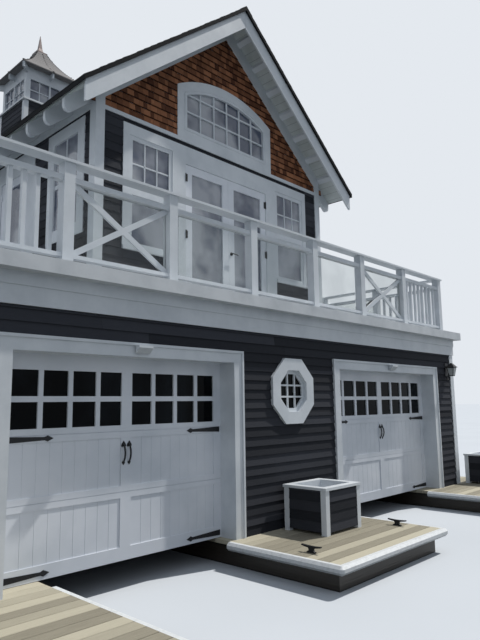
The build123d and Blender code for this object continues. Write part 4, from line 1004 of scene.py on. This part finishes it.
deck = corners_of("deck_floor")
border = 0.02
deck_thick = 0.004
deck_x0, deck_x1, deck_y0 = deck[0, 0] + border, deck[1, 0] - border, deck[0, 1] + border
front_rows = lay([((deck_x0, deck_y0), deck_x1 - deck_x0, cabin_y - deck_y0)],
                 (1, 0), (0, 1), deck_top, deck_thick)
cabin_length, side_deep = cabin_back - cabin_y, deck_x1 - cabin_half
side_rows = lay([((deck_x1, cabin_y), cabin_length, side_deep),
                 ((-cabin_half, cabin_y), cabin_length, side_deep)],
                (0, 1), (-1, 0), deck_top, deck_thick)
boards("deck_boards", *(first + more for first, more in zip(front_rows, side_rows)),
       "deck_floor_boards")

# %% [markdown]
# ## Light, floor and camera
# The key light is the sun of a summer day: high, from the right and only grazing the front. Its
# direction comes from the edges of shade in the photo. The jamb of a boat door's casing throws
# its shade 887 mm along a leaf that is set 261 mm back, and over that depth the sun drops 1.33 m,
# as the edge of the deck's shade shows. The world is an even pale blue-grey that fills the shade.
# The floor looks pale but gives little light back, as dark water does, so the soffits stay dark.
# The camera stands where the building's edges in the photo put it.

# %% Stage
def pale_ray(tree):
    """1 for the rays that show a background: camera, glossy and transmission rays."""
    path = add(tree, "ShaderNodeLightPath")
    camera, glossy, through = (path.outputs[f"Is {kind} Ray"]
                               for kind in ("Camera", "Glossy", "Transmission"))
    first = add(tree, "ShaderNodeMath", {0: camera, 1: through}, operation="MAXIMUM")
    return add(tree, "ShaderNodeMath", {0: first, 1: glossy}, operation="MAXIMUM")


world = bpy.data.worlds.new("pale_room")
world.use_nodes = True
sky = world.node_tree
sky.nodes.clear()
fill = add(sky, "ShaderNodeBackground", {"Color": "#DEE7F3", "Strength": 0.58})
seen = add(sky, "ShaderNodeBackground", {"Color": "#E4E9EF", "Strength": 1.0})
pick = add(sky, "ShaderNodeMixShader", {0: pale_ray(sky), 1: fill, 2: seen})
add(sky, "ShaderNodeOutputWorld", {"Surface": pick})
bpy.context.scene.world = world

sun = bpy.data.lights.new("key", "SUN")
sun.energy = 3.6
sun.angle = math.radians(1.0)
sun.color = (1.0, 0.97, 0.92)
lamp = bpy.data.objects.new("key", sun)
shade_along, leaf_depth, sun_drop = 0.887, 0.261, 1.33
to_light = Vector((shade_along, -leaf_depth, sun_drop)).normalized()
lamp.rotation_euler = to_light.to_track_quat("Z", "Y").to_euler()
bpy.context.scene.collection.objects.link(lamp)

floor_mesh = bpy.data.meshes.new("floor")
rim = 400.0
floor_mesh.from_pydata([(-rim, -rim, 0), (rim, -rim, 0), (rim, rim, 0), (-rim, rim, 0)],
                       [], [(0, 1, 2, 3)])
ground, tree, place = blank("pale_floor")
mottle = add(tree, "ShaderNodeTexNoise", {"Vector": place, "Scale": 0.4, "Detail": 2.0})
pale = add(tree, "ShaderNodeValToRGB", {"Fac": mottle}, [(0.3, "#BFC4CA"), (0.7, "#C3C8CE")])
shown = add(tree, "ShaderNodeBsdfDiffuse", {"Color": pale})
felt = add(tree, "ShaderNodeBsdfDiffuse", {"Color": "#5E6468"})
both = add(tree, "ShaderNodeMixShader", {0: pale_ray(tree), 1: felt, 2: shown})
add(tree, "ShaderNodeOutputMaterial", {"Surface": both})
floor_mesh.materials.append(ground)
floor = bpy.data.objects.new("floor", floor_mesh)
bpy.context.scene.collection.objects.link(floor)

# %% Camera
yaw, pitch, roll = (math.radians(v) for v in (46.357, 8.310, -0.799))
look = Vector((math.sin(yaw) * math.cos(pitch), math.cos(yaw) * math.cos(pitch), math.sin(pitch)))
right = Vector((math.cos(yaw), -math.sin(yaw), 0.0))
above = right.cross(look)
right, above = (right * math.cos(roll) + above * math.sin(roll),
                above * math.cos(roll) - right * math.sin(roll))
focal_pixels, picture_height, sensor = 579.47, 640, 36
lens = bpy.data.cameras.new("view")
lens.lens = focal_pixels * sensor / picture_height
lens.sensor_width = sensor
lens.clip_end = 2000
camera = bpy.data.objects.new("view", lens)
camera.matrix_world = Matrix((right, above, -look)).transposed().to_4x4()
camera.location = (-6.275, -11.0085, 1.828)
bpy.context.scene.collection.objects.link(camera)
bpy.context.scene.camera = camera
bpy.context.scene.view_settings.view_transform = "Standard"
